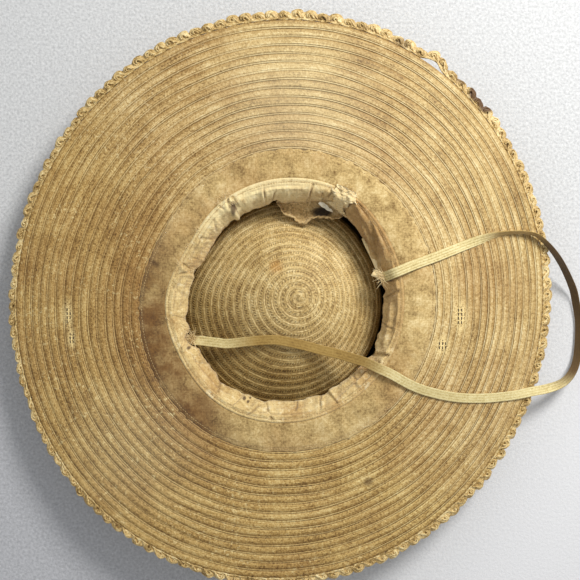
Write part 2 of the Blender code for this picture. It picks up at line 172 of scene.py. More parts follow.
# Sharp creases across the band: where, from which reach to which, how deep and wide, and their slant
Crease = namedtuple("Crease", "angle start end depth width slant")
CREASES = (
    Crease(115.9, 0.05, 1.05, 0.0034, 1.0, -1.5),
    Crease(117.6, 0.30, 1.10, 0.0038, 1.7, -2.0),
    Crease(119.9, 0.00, 0.60, 0.0022, 1.1, 3.0),
    Crease(122.5, 0.00, 0.45, 0.0012, 0.8, -4.0),
    Crease(100.2, 0.30, 1.05, 0.0020, 0.7, 0.5),
    Crease(94.0, 0.55, 1.05, 0.0014, 0.9, 5.0),
    Crease(76.3, 0.15, 1.05, 0.0022, 0.7, 0.4),
    Crease(71.0, 0.55, 1.05, 0.0014, 0.7, -4.0),
    Crease(66.7, 0.30, 1.05, 0.0016, 0.8, 3.0),
    Crease(56.0, 0.30, 1.05, 0.0016, 0.9, 2.0),
    Crease(160.6, 0.20, 1.05, 0.0026, 1.1, 5.0),
    Crease(164.0, 0.30, 0.80, 0.0012, 1.0, -7.0),
    Crease(188.0, 0.30, 1.05, 0.0014, 1.2, 4.0),
    Crease(203.0, 0.20, 1.05, 0.0018, 1.1, -6.0),
    Crease(214.0, 0.50, 1.05, 0.0012, 1.4, 8.0),
    Crease(234.0, 0.40, 1.05, 0.0014, 1.1, -5.0),
    Crease(243.5, 0.20, 1.05, 0.0016, 1.2, 5.0),
    Crease(254.5, 0.10, 0.90, 0.0013, 1.1, 7.0),
    Crease(262.0, 0.10, 1.05, 0.0017, 1.1, -6.0),
    Crease(276.0, 0.50, 1.05, 0.0012, 1.0, 3.0),
    Crease(289.0, 0.30, 1.05, 0.0018, 0.9, 4.0),
    Crease(297.0, 0.25, 1.05, 0.0024, 0.9, -3.0),
    Crease(311.0, 0.30, 1.05, 0.0012, 1.2, 6.0),
    Crease(331.5, 0.10, 1.05, 0.0022, 1.1, -4.0),
    Crease(346.0, 0.30, 1.05, 0.0011, 1.0, 4.0),
    Crease(4.5, 0.20, 1.05, 0.0018, 1.0, -5.0),
    Crease(13.5, 0.20, 1.05, 0.0024, 1.0, 4.0),
    Crease(131.0, 0.35, 0.95, 0.0009, 1.3, 8.0),
    Crease(142.0, 0.25, 0.90, 0.0008, 1.4, -8.0),
    Crease(174.0, 0.20, 0.95, 0.0008, 1.5, 6.0),
)

# Long folds along the band: from one angle and reach to another, how high and how wide in reach
Fold = namedtuple("Fold", "start end near far height width")
FOLDS = (
    Fold(55.0, 30.0, 0.30, 0.74, 0.0024, 0.10),
    Fold(48.0, 24.0, 0.60, 0.98, 0.0026, 0.11),
    Fold(40.0, 18.0, 0.34, 0.52, 0.0016, 0.09),
    Fold(37.0, 16.0, 0.96, 0.96, 0.0018, 0.07),
    Fold(205.0, 243.0, 0.78, 0.92, 0.0014, 0.11),
    Fold(208.0, 238.0, 0.52, 0.60, 0.0009, 0.10),
    Fold(299.0, 329.0, 0.46, 0.58, 0.0022, 0.10),
    Fold(302.0, 326.0, 0.88, 0.80, 0.0012, 0.09),
    Fold(335.0, 362.0, 0.62, 0.66, 0.0020, 0.12),
    Fold(78.0, 112.0, 0.50, 0.44, 0.0008, 0.10),
    Fold(125.0, 158.0, 0.56, 0.66, 0.0008, 0.12),
    Fold(164.0, 186.0, 0.70, 0.62, 0.0010, 0.12),
    Fold(250.0, 288.0, 0.66, 0.58, 0.0008, 0.10),
)

# The crown's outer side from the middle of its pushed-in top, down to the fold that the hat lies on and
# up its wall: radius and height
CROWN_OUTSIDE = (
    (0.0000, 0.0575),
    (0.0120, 0.0568),
    (0.0250, 0.0540),
    (0.0380, 0.0494),
    (0.0500, 0.0436),
    (0.0620, 0.0367),
    (0.0762, 0.0296),
    (0.0812, 0.0215),
    (0.0822, 0.0120),
    (0.0824, 0.0040),
    (0.0834, 0.0002),
    (0.0850, 0.0000),
    (0.0875, 0.0002),
    (0.0895, 0.0030),
    (0.0903, 0.0100),
    (0.0912, 0.0250),
    (0.0920, 0.0400),
    (CROWN_RIM + STRAW, OPENING_HEIGHT - GAP),
)

# The crown's inner side, from the same middle, over the fold and up to its rim
CROWN_INSIDE = (
    (0.0000, 0.0590),
    (0.0123, 0.0583),
    (0.0255, 0.0554),
    (0.0387, 0.0507),
    (0.0508, 0.0449),
    (0.0628, 0.0381),
    (0.0772, 0.0309),
    (0.0826, 0.0225),
    (0.0837, 0.0125),
    (0.0839, 0.0050),
    (0.0846, 0.0018),
    (0.0868, 0.0018),
    (0.0882, 0.0045),
    (0.0888, 0.0110),
    (0.0897, 0.0260),
    (0.0905, 0.0410),
    (CROWN_RIM, OPENING_HEIGHT - GAP),
)

# The strap's way from the left end: over the pushed-in crown, the band, the brim and the rim, along the
# surface below, and back. Stand is the tape's turn from flat towards the hat's side, in degrees.
Lay = namedtuple("Lay", "x y z stand")
STRAP_ROUTE = (
    Lay(-0.0715, -0.0336, 0.0416, 0),
    Lay(-0.0620, -0.0343, 0.0432, 0),
    Lay(-0.0520, -0.0353, 0.0449, 0),
    Lay(-0.0425, -0.0361, 0.0466, 0),
    Lay(-0.0288, -0.0345, 0.0490, 0),
    Lay(-0.0194, -0.0335, 0.0508, 0),
    Lay(-0.0111, -0.0328, 0.0524, 0),
    Lay(-0.0021, -0.0327, 0.0539, 0),
    Lay(0.0092, -0.0347, 0.0549, 0),
    Lay(0.0206, -0.0373, 0.0550, 0),
    Lay(0.0344, -0.0409, 0.0552, 0),
    Lay(0.0481, -0.0441, 0.0568, 0),
    Lay(0.0585, -0.0471, 0.0598, 0),
    Lay(0.0684, -0.0498, 0.0650, 0),
    Lay(0.0783, -0.0541, 0.0714, 0),
    Lay(0.0883, -0.0586, 0.0722, 0),
    Lay(0.1036, -0.0672, 0.0682, -6),
    Lay(0.1192, -0.0734, 0.0634, -8),
    Lay(0.1424, -0.0788, 0.0562, -8),
    Lay(0.1671, -0.0807, 0.0475, -8),
    Lay(0.1928, -0.0798, 0.0374, -7),
    Lay(0.2100, -0.0776, 0.0306, 5),
    Lay(0.2258, -0.0753, 0.0262, 22),
    Lay(0.2415, -0.0710, 0.0185, 44),
    Lay(0.2522, -0.0623, 0.0110, 54),
    Lay(0.2579, -0.0483, 0.0066, 56),
    Lay(0.2598, -0.0226, 0.0052, 54),
    Lay(0.2567, -0.0018, 0.0056, 56),
    Lay(0.2528, 0.0104, 0.0085, 60),
    Lay(0.2425, 0.0266, 0.0175, 68),
    Lay(0.2314, 0.0387, 0.0280, 72),
    Lay(0.2206, 0.0482, 0.0350, 77),
    Lay(0.2121, 0.0537, 0.0378, 78),
    Lay(0.1997, 0.0553, 0.0416, 76),
    Lay(0.1827, 0.0537, 0.0474, 62),
    Lay(0.1658, 0.0495, 0.0532, 30),
    Lay(0.1497, 0.0440, 0.0588, 6),
    Lay(0.1261, 0.0348, 0.0660, -4),
    Lay(0.1080, 0.0283, 0.0704, -2),
    Lay(0.0960, 0.0235, 0.0731, 0),
    Lay(0.0905, 0.0212, 0.0724, 0),
    Lay(0.0868, 0.0196, 0.0690, 0),
    Lay(0.0832, 0.0181, 0.0634, 0),
)

# The pieces of the strap's sewn ends: half their width, how far it tapers and half their thickness, and
# the length and radius of their loose fibres
TUFT_WIDTH = 0.0037
TUFT_TAPER = 0.0012
TUFT_THICKNESS = 0.0004
TUFT_FIBRE = 0.0070
TUFT_FIBRE_RADIUS = 0.00034

# One row of braid from its inner edge: the share of the row and the relief
BRAID = ((0.00, 0.0), (0.06, 0.00034), (0.13, 0.00012), (0.22, 0.00040), (0.60, 0.00056), (0.93, 0.00066))
BRAID_BELOW = ((0.00, 0.0), (0.14, 0.00040), (0.55, 0.00060), (0.88, 0.00042))
CROWN_BRAID = ((0.00, 0.0), (0.16, 0.00062), (0.36, 0.00034), (0.60, 0.00046), (0.86, 0.00032))
CROWN_BRAID_BELOW = ((0.00, 0.0), (0.35, 0.00045), (0.80, 0.00040))

# The sweatband's upper side from its outer edge to its lip: reach and height over its lower side
BAND_PROFILE = (
    (0.00, 0.0004),
    (0.03, 0.0012),
    (0.08, 0.0017),
    (0.13, 0.0016),
    (0.19, 0.0011),
    (0.24, 0.0013),
    (0.36, 0.0015),
    (0.80, 0.0015),
    (0.93, 0.0017),
    (0.99, 0.0013),
    (1.02, 0.0003),
)
BAND_LINES = 44

# Lines of sewing: their reach and height on the cloth, how many threads and their length in degrees, the
# threads' radius and how far they sway in reach
Sewing = namedtuple("Sewing", "reach height count length radius sway")
BAND_SEWING = Sewing(0.195, 0.0013, 300, 0.75, 0.00022, 0.012)
FACING_SEWING = Sewing(0.90, STRAW + GAP + 0.0006, 330, 0.70, 0.00020, 0.006)
THREAD_LIFT = 0.0003
THREAD_SINK = 0.0002

# The torn flap: from which angle to which it hangs, where it is deepest and how it narrows, how far it
# reaches inwards and down from the lip, its thickness and its rim's radius. The sliver of lining next to
# it: its ends, half its width and its thickness.
FLAP_ANGLES = (56.0, 94.0)
FLAP_MIDDLE = 75.0
FLAP_SPREAD = 22.0
FLAP_PROFILE = (
    (-0.0010, 0.0010),
    (0.0012, 0.0062),
    (0.0055, 0.0098),
    (0.0105, 0.0100),
    (0.0148, 0.0074),
    (0.0168, 0.0048),
)
FLAP_THICKNESS = 0.0008
FLAP_RIM = 0.0009
SLIVER_START = (0.0318, 0.0786, 0.0556)
SLIVER_END = (0.0428, 0.0716, 0.0530)
SLIVER_WIDTH = 0.0019
SLIVER_THICKNESS = 0.0005

# The lip's rolled hem by its angles, radius and height, and the bunch of tape by its middle angle, half its
# width in degrees, its reach, height and thickness
HEM_ANGLES = (39.0, 14.5)
HEM_RADIUS = 0.0023
HEM_HEIGHT = 0.0034
SCRAP_MIDDLE = 60.4
SCRAP_WIDTH = 4.8
SCRAP_REACH = (-0.10, 1.04)
SCRAP_HEIGHT = 0.0028
SCRAP_THICKNESS = 0.0007

# Loose fibres on the band: angle, reach on the band, how many and how long, and for all of them the height
# that they leave it at, their radius and how far apart they start
FRAYS = (
    (117.5, 0.02, 22, 0.0042),
    (120.0, 0.05, 24, 0.0046),
    (123.0, 0.02, 16, 0.0040),
    (160.5, 0.90, 16, 0.0040),
    (160.5, 0.20, 12, 0.0036),
    (58.5, 0.05, 22, 0.0046),
    (62.5, 0.02, 18, 0.0042),
    (66.0, 0.35, 14, 0.0034),
    (188.0, 0.15, 12, 0.0036),
    (140.0, 0.04, 14, 0.0034),
    (150.0, 0.06, 12, 0.0032),
    (14.0, 0.85, 16, 0.0042),
    (17.5, 1.00, 34, 0.0052),
    (13.5, 1.02, 26, 0.0048),
    (199.5, 1.00, 34, 0.0048),
    (116.5, 0.45, 16, 0.0038),
    (196.0, 0.92, 44, 0.0062),
    (192.5, 0.80, 22, 0.0050),
    (112.0, 0.60, 16, 0.0040),
)
FRAY_HEIGHT = 0.0016
FRAY_RADIUS = 0.00016
FRAY_SPREAD = 0.0012

# Wear and painted shade in plan: the brim's small holes with how their radius is shortened by axis, its
# paler areas and its stain, the crown's stain, the sweatband's brown part with its painted shade, its dark
# spots with painted shadows in two tucks, the torn flap's painted mouth shadow, and the browned knobs of the
# trim
BRIM_HOLES = (
    ((0.1452, -0.0132), 0.0092, (2.2, 1.0)),
    ((0.1300, -0.0365), 0.0052, (1.1, 1.0)),
    ((-0.1745, -0.0130), 0.0080, (2.6, 1.0)),
    ((-0.1712, -0.0320), 0.0058, (2.2, 1.0)),
)
BRIM_PALE = (
    ((0.012, 0.160), 0.090, 0.22),
    ((-0.120, -0.120), 0.080, 0.14),
)
BRIM_STAIN = (0.0715, -0.1465)
CROWN_STAIN = (-0.0030, 0.0265)
BAND_BROWN_AND_SHADE = (0.0777, 0.0600)
BAND_STAINS_AND_TUCK_SHADOWS = (
    ((-0.0286, -0.0800), 0.0020, (1.0, 1.0)),
    ((-0.0256, -0.0826), 0.0016, (1.0, 1.0)),
    ((-0.0240, -0.0800), 0.0012, (1.0, 1.0)),
    # A painted shadow in the dark tuck
    ((-0.0372, 0.0730), 0.0078, (2.8, 1.0)),
    ((-0.0757, -0.0290), 0.0014, (1.0, 1.0)),
    ((-0.0738, -0.0392), 0.0018, (1.0, 1.0)),
    # A painted shadow in the tuck where the strap comes out
    ((0.0870, 0.0160), 0.0040, (0.8, 2.0)),
)
FLAP_MOUTH_SHADOW = (0.0350, 0.0722)
TRIM_STAINS = (
    ((0.1627, 0.1700), 0.0095, 0.95),
    ((0.1703, 0.1612), 0.0090, 0.95),
    ((0.0990, 0.2075), 0.0070, 0.50),
    ((0.1500, 0.1790), 0.0040, 0.60),
)

# Painted shade on the strap in plan: over the crown, where it stands on its edge at the right, and where
# it comes back over the rim. Each is a middle, a radius, its softness, its share and its tint.
TAPE_PAINTED_SHADE = (
    ((0.0250, -0.0330), 0.0760, 0.45, 0.95, (190, 164, 112)),
    ((0.2500, -0.0060), 0.0760, 0.28, 0.96, (108, 82, 38)),
    ((0.1960, 0.0560), 0.0360, 0.60, 0.80, (196, 168, 112)),
)

# A strand of the trim in one scallop: how far along it in half scallops, and how far out in trim widths.
# Then the strands side by side, the mesh's lines in a scallop, and the seed of the knobs' sizes.
KNOB_WAVE = (
    (-1.10, 0.08),
    (-0.70, 0.36),
    (-0.20, 0.74),
    (0.30, 0.84),
    (0.70, 0.62),
    (0.62, 0.34),
    (0.20, 0.30),
)
KNOB_STRANDS = 3
KNOB_STEPS = 12
KNOB_SEED = 41

# The camera looks straight down on the head opening: its place and its angle of view
CAMERA_PLACE = (0.0084, 0.0078, 0.7120)
CAMERA_VIEW = 39.28

# Light: the window's side and height in degrees, its distance, size and power, and the sky
KEY_AZIMUTH = 50.0
KEY_HEIGHT = 44.0
KEY_DISTANCE = 1.2
KEY_SIZE = 0.42
KEY_POWER = 12.6
SKY_STRENGTH = 0.46


def through(before, here, after, beyond, part):
    """A smooth curve through four values, at a part of the way between the middle two."""
    curve = 3.0 * (here - after) + beyond - before
    bend = 2.0 * before - 5.0 * here + 4.0 * after - beyond
    return here + 0.5 * part * (after - before + part * (bend + part * curve))


def around(column, angle):
    """One column of the stations at some angles, on a smooth closed curve through its values."""
    values = np.array([getattr(station, column) for station in STATIONS])
    place = np.asarray(angle, float) / (360.0 / len(STATIONS))
    row = np.floor(place).astype(int)
    return through(*(values[(row + step) % len(STATIONS)] for step in (-1, 0, 1, 2)), place - row)


def away(angle, middle):
    """How far angles lie from a middle, in degrees from -180 to 180."""
    return (np.asarray(angle, float) - middle + 180.0) % 360.0 - 180.0


def hump(angle, middle, spread):
    """1 at the middle, falling smoothly to 0 at the spread on either side."""
    off = np.abs(away(angle, middle))
    return np.where(off < spread, 0.5 + 0.5 * np.cos(np.pi * off / spread), 0.0)


def ripples(angle, across, turns, seed):
    """A smooth uneven wave from about -1 to 1 that closes on itself round the hat."""
    draw = np.random.default_rng(seed)
    total = 0.0
    waves = 7
    for _ in range(waves):
        count = draw.integers(max(1, turns // 2), turns * 2)
        slope = draw.uniform(-6.0, 6.0)
        phase = draw.uniform(0.0, math.tau)
        total = total + np.sin(np.radians(angle) * count + across * slope + phase)
    return total / math.sqrt(waves)


def together(*parts):
    """Arrays over one grid, side by side in a last axis."""
    return np.stack(np.broadcast_arrays(*parts), -1)


def outline_radius(angle):
    """Distance from the opening's middle to the outline of the trim's tips."""
    turn = math.radians(OUTLINE_TURN)
    along = np.array((math.cos(turn), math.sin(turn)))
    across = np.array((-along[1], along[0]))
    way = np.stack((np.cos(np.radians(angle)), np.sin(np.radians(angle))), -1)
    middle = np.array(OPENING_MIDDLE)
    heading = np.stack((way @ along / OUTLINE_LONG, way @ across / OUTLINE_SHORT), -1)
    start = np.array((middle @ along / OUTLINE_LONG, middle @ across / OUTLINE_SHORT))
    square = (heading * heading).sum(-1)
    half = heading @ start
    return (-half + np.sqrt(half * half - square * (start @ start - 1.0))) / square


def rim_radius(angle):
    return outline_radius(angle) - TRIM_WIDTH


def opening_radius(angle):
    return around("band", angle) - BAND_OVERLAP


def lifted(height, x):
    """A height at an x. Heights grow to the right, because the hat leans to the left."""
    return height * (1.0 + RISE_TO_RIGHT * x)


def on_hat(angle, radius, height):
    """Places at some radii from the opening's middle."""
    turn = np.radians(angle)
    x = OPENING_MIDDLE[0] + np.cos(turn) * radius
    y = OPENING_MIDDLE[1] + np.sin(turn) * radius
    return together(x, y, height)


def brim_level(angle, radius):
    """Height of the brim's lower side, flat near the opening and drooping towards the rim."""
    x = OPENING_MIDDLE[0] + np.cos(np.radians(angle)) * radius
    share = np.maximum(0.0, (radius - FLAT_RADIUS) / (rim_radius(angle) - FLAT_RADIUS))
    return lifted(OPENING_HEIGHT, x) - around("droop", angle) * share ** DROOP_POWER


def brim_radius(angle, reach):
    """Radius at a reach: 0 is the opening's edge, 1 the facing's edge and 2 the rim."""
    opening = opening_radius(angle)
    facing = around("facing", angle)
    inside = opening + (facing - opening) * reach
    outside = facing + (rim_radius(angle) - facing) * (reach - 1.0)
    return np.where(reach <= 1.0, inside, outside)


def facing_place(angle, reach, height):
    """A place on the facing, which runs from under the sweatband's edge to its own edge, on the brim."""
    inner = around("band", angle) + BAND_MARGIN
    radius = inner + (around("facing", angle) - inner) * reach
    return on_hat(angle, radius, brim_level(angle, radius) + height)


def band_place(angle, reach, height):
    """Reach 0 is the sweatband's outer edge, BAND_TURN its bend over the brim and 1 its lip. At the top of
    the photo the band stays flat for longer before it bends down."""
    pull = sum(tuck.pull * hump(angle, tuck.angle, tuck.spread) for tuck in TUCKS)
    lift = sum(tuck.lift * hump(angle, tuck.angle, tuck.spread) for tuck in TUCKS)
    hang = np.maximum(0.0, (reach - BAND_TURN) / (1.0 - BAND_TURN))
    gather = GATHER_DEPTH * ripples(angle, 0.0, 9, 33)
    outer = around("band", angle)
    lip = around("lip", angle) + (pull + gather) * hang
    radius = outer + (lip - outer) * reach
    x = OPENING_MIDDLE[0] + np.cos(np.radians(angle)) * radius
    level = lifted(OPENING_HEIGHT, x) + STRAW + GAP
    drop = (BAND_DROP - lift) * hang ** (1.0 + TOP_BEND * hump(angle, TOP_ANGLE, TOP_SPREAD))
    return on_hat(angle, radius, level + height - drop)


def shifted(shift, angle):
    """How far a shift moves each angle."""
    return shift.amount * hump(angle, shift.angle, shift.spread) ** shift.power


def crown_place(angle, radius, height):
    """The crown is round and off the middle at its top, and follows the opening at its rim. Its dome
    sinks and spreads to the lower left, up to the sweatband's lip, and stands back at the upper right."""
    share = np.minimum(1.0, radius / CROWN_RIM)
    ease = share * share * (3.0 - 2.0 * share)
    oval = (opening_radius(angle) + GAP) / CROWN_RIM
    wide = radius * (1.0 + (oval - 1.0) * ease)
    dome = (radius < DOME_END) * np.clip(height / DOME_LOW, 0.0, 1.0)
    dome = dome * np.exp(-((np.minimum(radius, DOME_EDGE) - DOME_EDGE) / DOME_REACH) ** 2)
    wide = wide + (shifted(DOME_SPREAD, angle) + shifted(DOME_TUCK, angle)) * dome
    height = height + shifted(DOME_SINK, angle) * dome
    turn = np.radians(angle)
    x, y = (middle + (opening - middle) * ease + way * wide for middle, opening, way in zip(
        CROWN_MIDDLE, OPENING_MIDDLE, (np.cos(turn), np.sin(turn))))
    return together(x, y, lifted(height, x))


def rounded(points, steps):
    """A smooth line through a few points, with some steps between each two."""
    points = np.array(points, float)
    padded = np.vstack((points[:1], points, points[-1:]))
    part = (np.arange(steps) / steps)[:, None]
    line = [through(*four, part) for four in zip(padded, padded[1:], padded[2:], padded[3:])]
    return np.vstack((*line, points[-1:]))


def unit(vectors):
    return vectors / np.maximum(np.linalg.norm(vectors, axis=-1, keepdims=True), 1e-12)


def turned_round(lines):
    """Angles of the lines of a closed ring, as a column, and the same with the last one repeated."""
    angles = np.arange(lines) * 360.0 / lines
    return angles[:, None], np.append(angles, 360.0) / 360.0


def dress(piece, slot, material, *nodes):
    """Give a piece its material, attach it to the root body, and hide the imported parts of the nodes that
    it stands for. The slot is not used.
    """
    piece.data.materials.append(material)
    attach(piece, "root")
    if nodes:
        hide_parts(*nodes)


@contextmanager
def edited(piece):
    """The piece's mesh to work on, written back and smooth afterwards."""
    work = bmesh.new()
    work.from_mesh(piece.data)
    yield work
    work.to_mesh(piece.data)
    work.free()
    piece.data.shade_smooth()


def mark_points(piece, name, values):
    """Give the mesh a value at each of its points."""
    layer = piece.data.attributes.new(name, 'FLOAT', 'POINT')
    layer.data.foreach_set("value", values.astype(np.float32).ravel())


def outward_of(grid):
    """The directions that a grid of points faces."""
    return unit(np.cross(np.gradient(grid, axis=0), np.gradient(grid, axis=1)))


def mesh_object(name, points, faces, marks):
    """A smooth mesh with its faces outwards. marks are the (u, v) of each face's corners."""
    points = np.asarray(points, float)
    faces = np.asarray(faces, int)
    fans = [faces[:, (0, side, side + 1)] for side in range(1, faces.shape[1] - 1)]
    corners = points[np.vstack(fans)]
    volume = np.einsum("ij,ij->i", corners[:, 0], np.cross(corners[:, 1], corners[:, 2])).sum()
    if volume < 0.0:
        faces = faces[:, ::-1]
        marks = marks[:, ::-1]
    mesh = bpy.data.meshes.new(name)
    mesh.from_pydata(points.tolist(), [], faces.tolist())
    marks = np.ascontiguousarray(marks, np.float32)
    mesh.uv_layers.new(name="braid").uv.foreach_set("vector", marks.ravel())
    mesh.shade_smooth()
    piece = bpy.data.objects.new(name, mesh)
    bpy.context.scene.collection.objects.link(piece)
    return piece


def ring_grid(name, points, along, turns, across, row_lines=len(BRAID)):
    """A mesh over a grid that goes round the hat. points is lines round by lines across. along and across
    are the marks of the lines, and turns how many stitches each strip between two lines has round. Every
    row_lines strips, the stitches start at another place. With as many lines round as marks along, the
    last line isn't joined to the first."""
    rounds, lines = points.shape[:2]
    first = np.arange(len(along) - 1)[:, None]
    second = (first + 1) % rounds
    near = np.arange(lines)[None, :]
    far = (near + 1) % lines
    faces = together(first * lines + near, second * lines + near, second * lines + far, first * lines + far)
    turns = np.asarray(turns, float)[None, :]
    shift = np.modf(np.arange(lines) // row_lines * STITCH_SHIFT)[0][None, :]
    start = along[:-1, None] * turns + shift
    end = along[1:, None] * turns + shift
    low = np.asarray(across)[None, :-1]
    high = np.asarray(across)[None, 1:]
    marks = together(together(start, end, end, start), together(low, low, high, high))
    return mesh_object(name, points.reshape(-1, 3), faces.reshape(-1, 4), marks.reshape(-1, 4, 2))


class Strands:
    """Thin round or flat strands that become one piece."""

    def __init__(self):
        self.points = []
        self.faces = []
        self.marks = []
        self.count = 0

    def add(self, line, radius, sides, flat=1.0):
        """A strand along a line. flat is its height as a share of its width."""
        line = np.asarray(line, float)
        radius = np.broadcast_to(np.asarray(radius, float), len(line))
        way = unit(np.gradient(line, axis=0))
        side = unit(np.cross((0.0, 0.0, 1.0), way) + 1e-9)
        top = np.cross(way, side)
        turn = np.arange(sides) * math.tau / sides
        wide = np.cos(turn)[None, :, None] * side[:, None, :]
        high = np.sin(turn)[None, :, None] * top[:, None, :] * flat
        self.grid(line[:, None, :] + (wide + high) * radius[:, None, None])

    def grid(self, points):
        """A tube over a grid of points, which are lines along it by sides round it."""
        length, sides = points.shape[:2]
        first = np.arange(length - 1)[:, None] * sides
        second = first + sides
        near = np.arange(sides)[None, :]
        far = (near + 1) % sides
        faces = together(first + near, first + far, second + far, second + near)
        steps = np.linalg.norm(np.diff(points[:, 0], axis=0), axis=-1)
        run = np.append(0.0, np.cumsum(steps)) * MILLIMETRES
        low = run[:-1, None]
        high = run[1:, None]
        share = near / sides
        after = share + 1.0 / sides
        marks = together(together(low, low, high, high), together(share, after, after, share))
        self.points.append(points.reshape(-1, 3))
        self.faces.append(faces.reshape(-1, 4) + self.count)
        self.marks.append(marks.reshape(-1, 4, 2))
        self.count += length * sides

    def piece(self, name):
        """The piece, with the open ends of its strands closed."""
        made = mesh_object(name, np.vstack(self.points), np.vstack(self.faces), np.vstack(self.marks))
        with edited(made) as work:
            bmesh.ops.holes_fill(work, edges=[edge for edge in work.edges if edge.is_boundary])
            bmesh.ops.recalc_face_normals(work, faces=work.faces)
        return made


class Look:
    """One material, whose nodes are added by kind and linked by socket. Its colour is laid on in layers."""

    def __init__(self, name, roughness):
        self.material = bpy.data.materials.new(name)
        self.material.use_nodes = True
        self.tree = self.material.node_tree
        self.shader = self.tree.nodes["Principled BSDF"]
        self.shader.inputs["Roughness"].default_value = roughness
        self.place = self.add("ShaderNodeTexCoord", {}).outputs["Object"]
        self.colour = None

    def add(self, kind, inputs, **settings):
        """A node with its settings, whose inputs are sockets to link or values to set."""
        node = self.tree.nodes.new(kind)
        for name, value in settings.items():
            setattr(node, name, value)
        for key, value in inputs.items():
            self.put(node.inputs[key], value)
        return node

    def put(self, socket, value):
        if isinstance(value, bpy.types.NodeSocket):
            self.tree.links.new(value, socket)
        else:
            socket.default_value = value

    def marks(self):
        """The stitches along and the rows across, from the mesh."""
        node = self.add("ShaderNodeUVMap", {}, uv_map="braid")
        split = self.add("ShaderNodeSeparateXYZ", {0: node.outputs["UV"]})
        return split.outputs["X"], split.outputs["Y"]

    def attribute(self, name):
        """A value that the mesh carries at its points."""
        return self.add("ShaderNodeAttribute", {}, attribute_name=name).outputs["Fac"]

    def math(self, operation, *values):
        return self.add("ShaderNodeMath", dict(enumerate(values)), operation=operation).outputs[0]

    def times(self, first, second):
        return self.math("MULTIPLY", first, second)

    def sway(self, value, amount, start):
        """A start that a value moves by an amount."""
        return self.math("MULTIPLY_ADD", value, amount, start)

    def noise(self, scale, detail=2.0, rough=0.55, vector=None):
        inputs = {"Vector": vector or self.place, "Scale": scale, "Detail": detail, "Roughness": rough}
        return self.add("ShaderNodeTexNoise", inputs).outputs["Fac"]

    def drawn(self, fine, row, coarse, detail=2.0):
        """A noise that changes slowly along the rows and quickly across them."""
        flat = self.add("ShaderNodeVectorMath", {0: self.place, 1: (fine, fine, 0.0)}, operation="MULTIPLY")
        up = self.add("ShaderNodeCombineXYZ", {2: self.times(row, coarse)})
        both = self.add("ShaderNodeVectorMath", {0: flat.outputs[0], 1: up.outputs[0]})
        return self.noise(1.0, detail, vector=both.outputs[0])

    def window(self, value, low, high, start=0.0, end=1.0):
        """A value from low to high, spread smoothly from start to end."""
        inputs = {"Value": value, "From Min": low, "From Max": high, "To Min": start, "To Max": end}
        return self.add("ShaderNodeMapRange", inputs, interpolation_type="SMOOTHSTEP").outputs["Result"]

    def near(self, place, radius, soft=0.5, stretch=(1.0, 1.0)):
        """1 close to a place in plan, and 0 past a radius. stretch shortens the radius by axis."""
        off = self.add("ShaderNodeVectorMath", {0: self.place, 1: (*place, 0.0)}, operation="SUBTRACT")
        off = self.add("ShaderNodeVectorMath", {0: off.outputs[0], 1: (*stretch, 0.0)}, operation="MULTIPLY")
        size = self.add("ShaderNodeVectorMath", {0: off.outputs[0]}, operation="LENGTH")
        return self.window(size.outputs["Value"], radius * (1.0 - soft), radius, 1.0, 0.0)

    def side(self, x, y, low, high):
        """How far a place lies towards a side of the hat, from 0 at low to 1 at high."""
        split = self.add("ShaderNodeSeparateXYZ", {0: self.place})
        return self.window(self.sway(split.outputs["X"], x, self.times(split.outputs["Y"], y)), low, high)

    def line(self, row, place, width, core=0.0):
        """1 on a thin line at a place across each row, out to its core, and 0 past its width."""
        return self.window(self.math("ABSOLUTE", self.math("SUBTRACT", row, place)), core, width, 1.0, 0.0)

    def seam(self, across, width):
        """1 where two rows meet."""
        return self.window(self.math("PINGPONG", across, 0.5), 0.0, width, 1.0, 0.0)

    def mixed(self, start, parts):
        """A value that starts somewhere and sways with noises about 0.5, each by its own amount."""
        total = start
        for noise, amount in parts:
            total = self.sway(self.math("SUBTRACT", noise, 0.5), amount, total)
        return total

    def ramp(self, value, *stops):
        """Start the colour, from stops of (place, colour)."""
        node = self.add("ShaderNodeValToRGB", {0: value})
        elements = node.color_ramp.elements
        for index, (place, colour) in enumerate(stops):
            element = elements[index] if index < 2 else elements.new(place)
            element.position = place
            element.color = (*linear(colour), 1.0)
        self.colour = node.outputs["Color"]

    def layer(self, kind, mask, share, colour):
        """Lay a colour over what is there, by a share of a mask."""
        inputs = {0: self.times(mask, share), 6: self.colour, 7: (*linear(colour), 1.0)}
        self.colour = self.add("ShaderNodeMix", inputs, data_type="RGBA", blend_type=kind).outputs[2]

    def cover(self, mask, share, colour):
        self.layer("MIX", mask, share, colour)

    def tint(self, mask, share, colour):
        self.layer("MULTIPLY", mask, share, colour)

    def finish(self, height, depth, strength=1.0):
        """Link the colour, and a height from 0 to 1 that stands for a depth in metres."""
        self.put(self.shader.inputs["Base Color"], self.colour)
        bump = self.add("ShaderNodeBump", {"Height": height, "Distance": depth, "Strength": strength})
        self.put(self.shader.inputs["Normal"], bump.outputs["Normal"])
        return self.material


def linear(colour):
    """A colour of 0 to 255 as light."""
    return tuple((part / 255.0) ** 2.2 for part in colour)


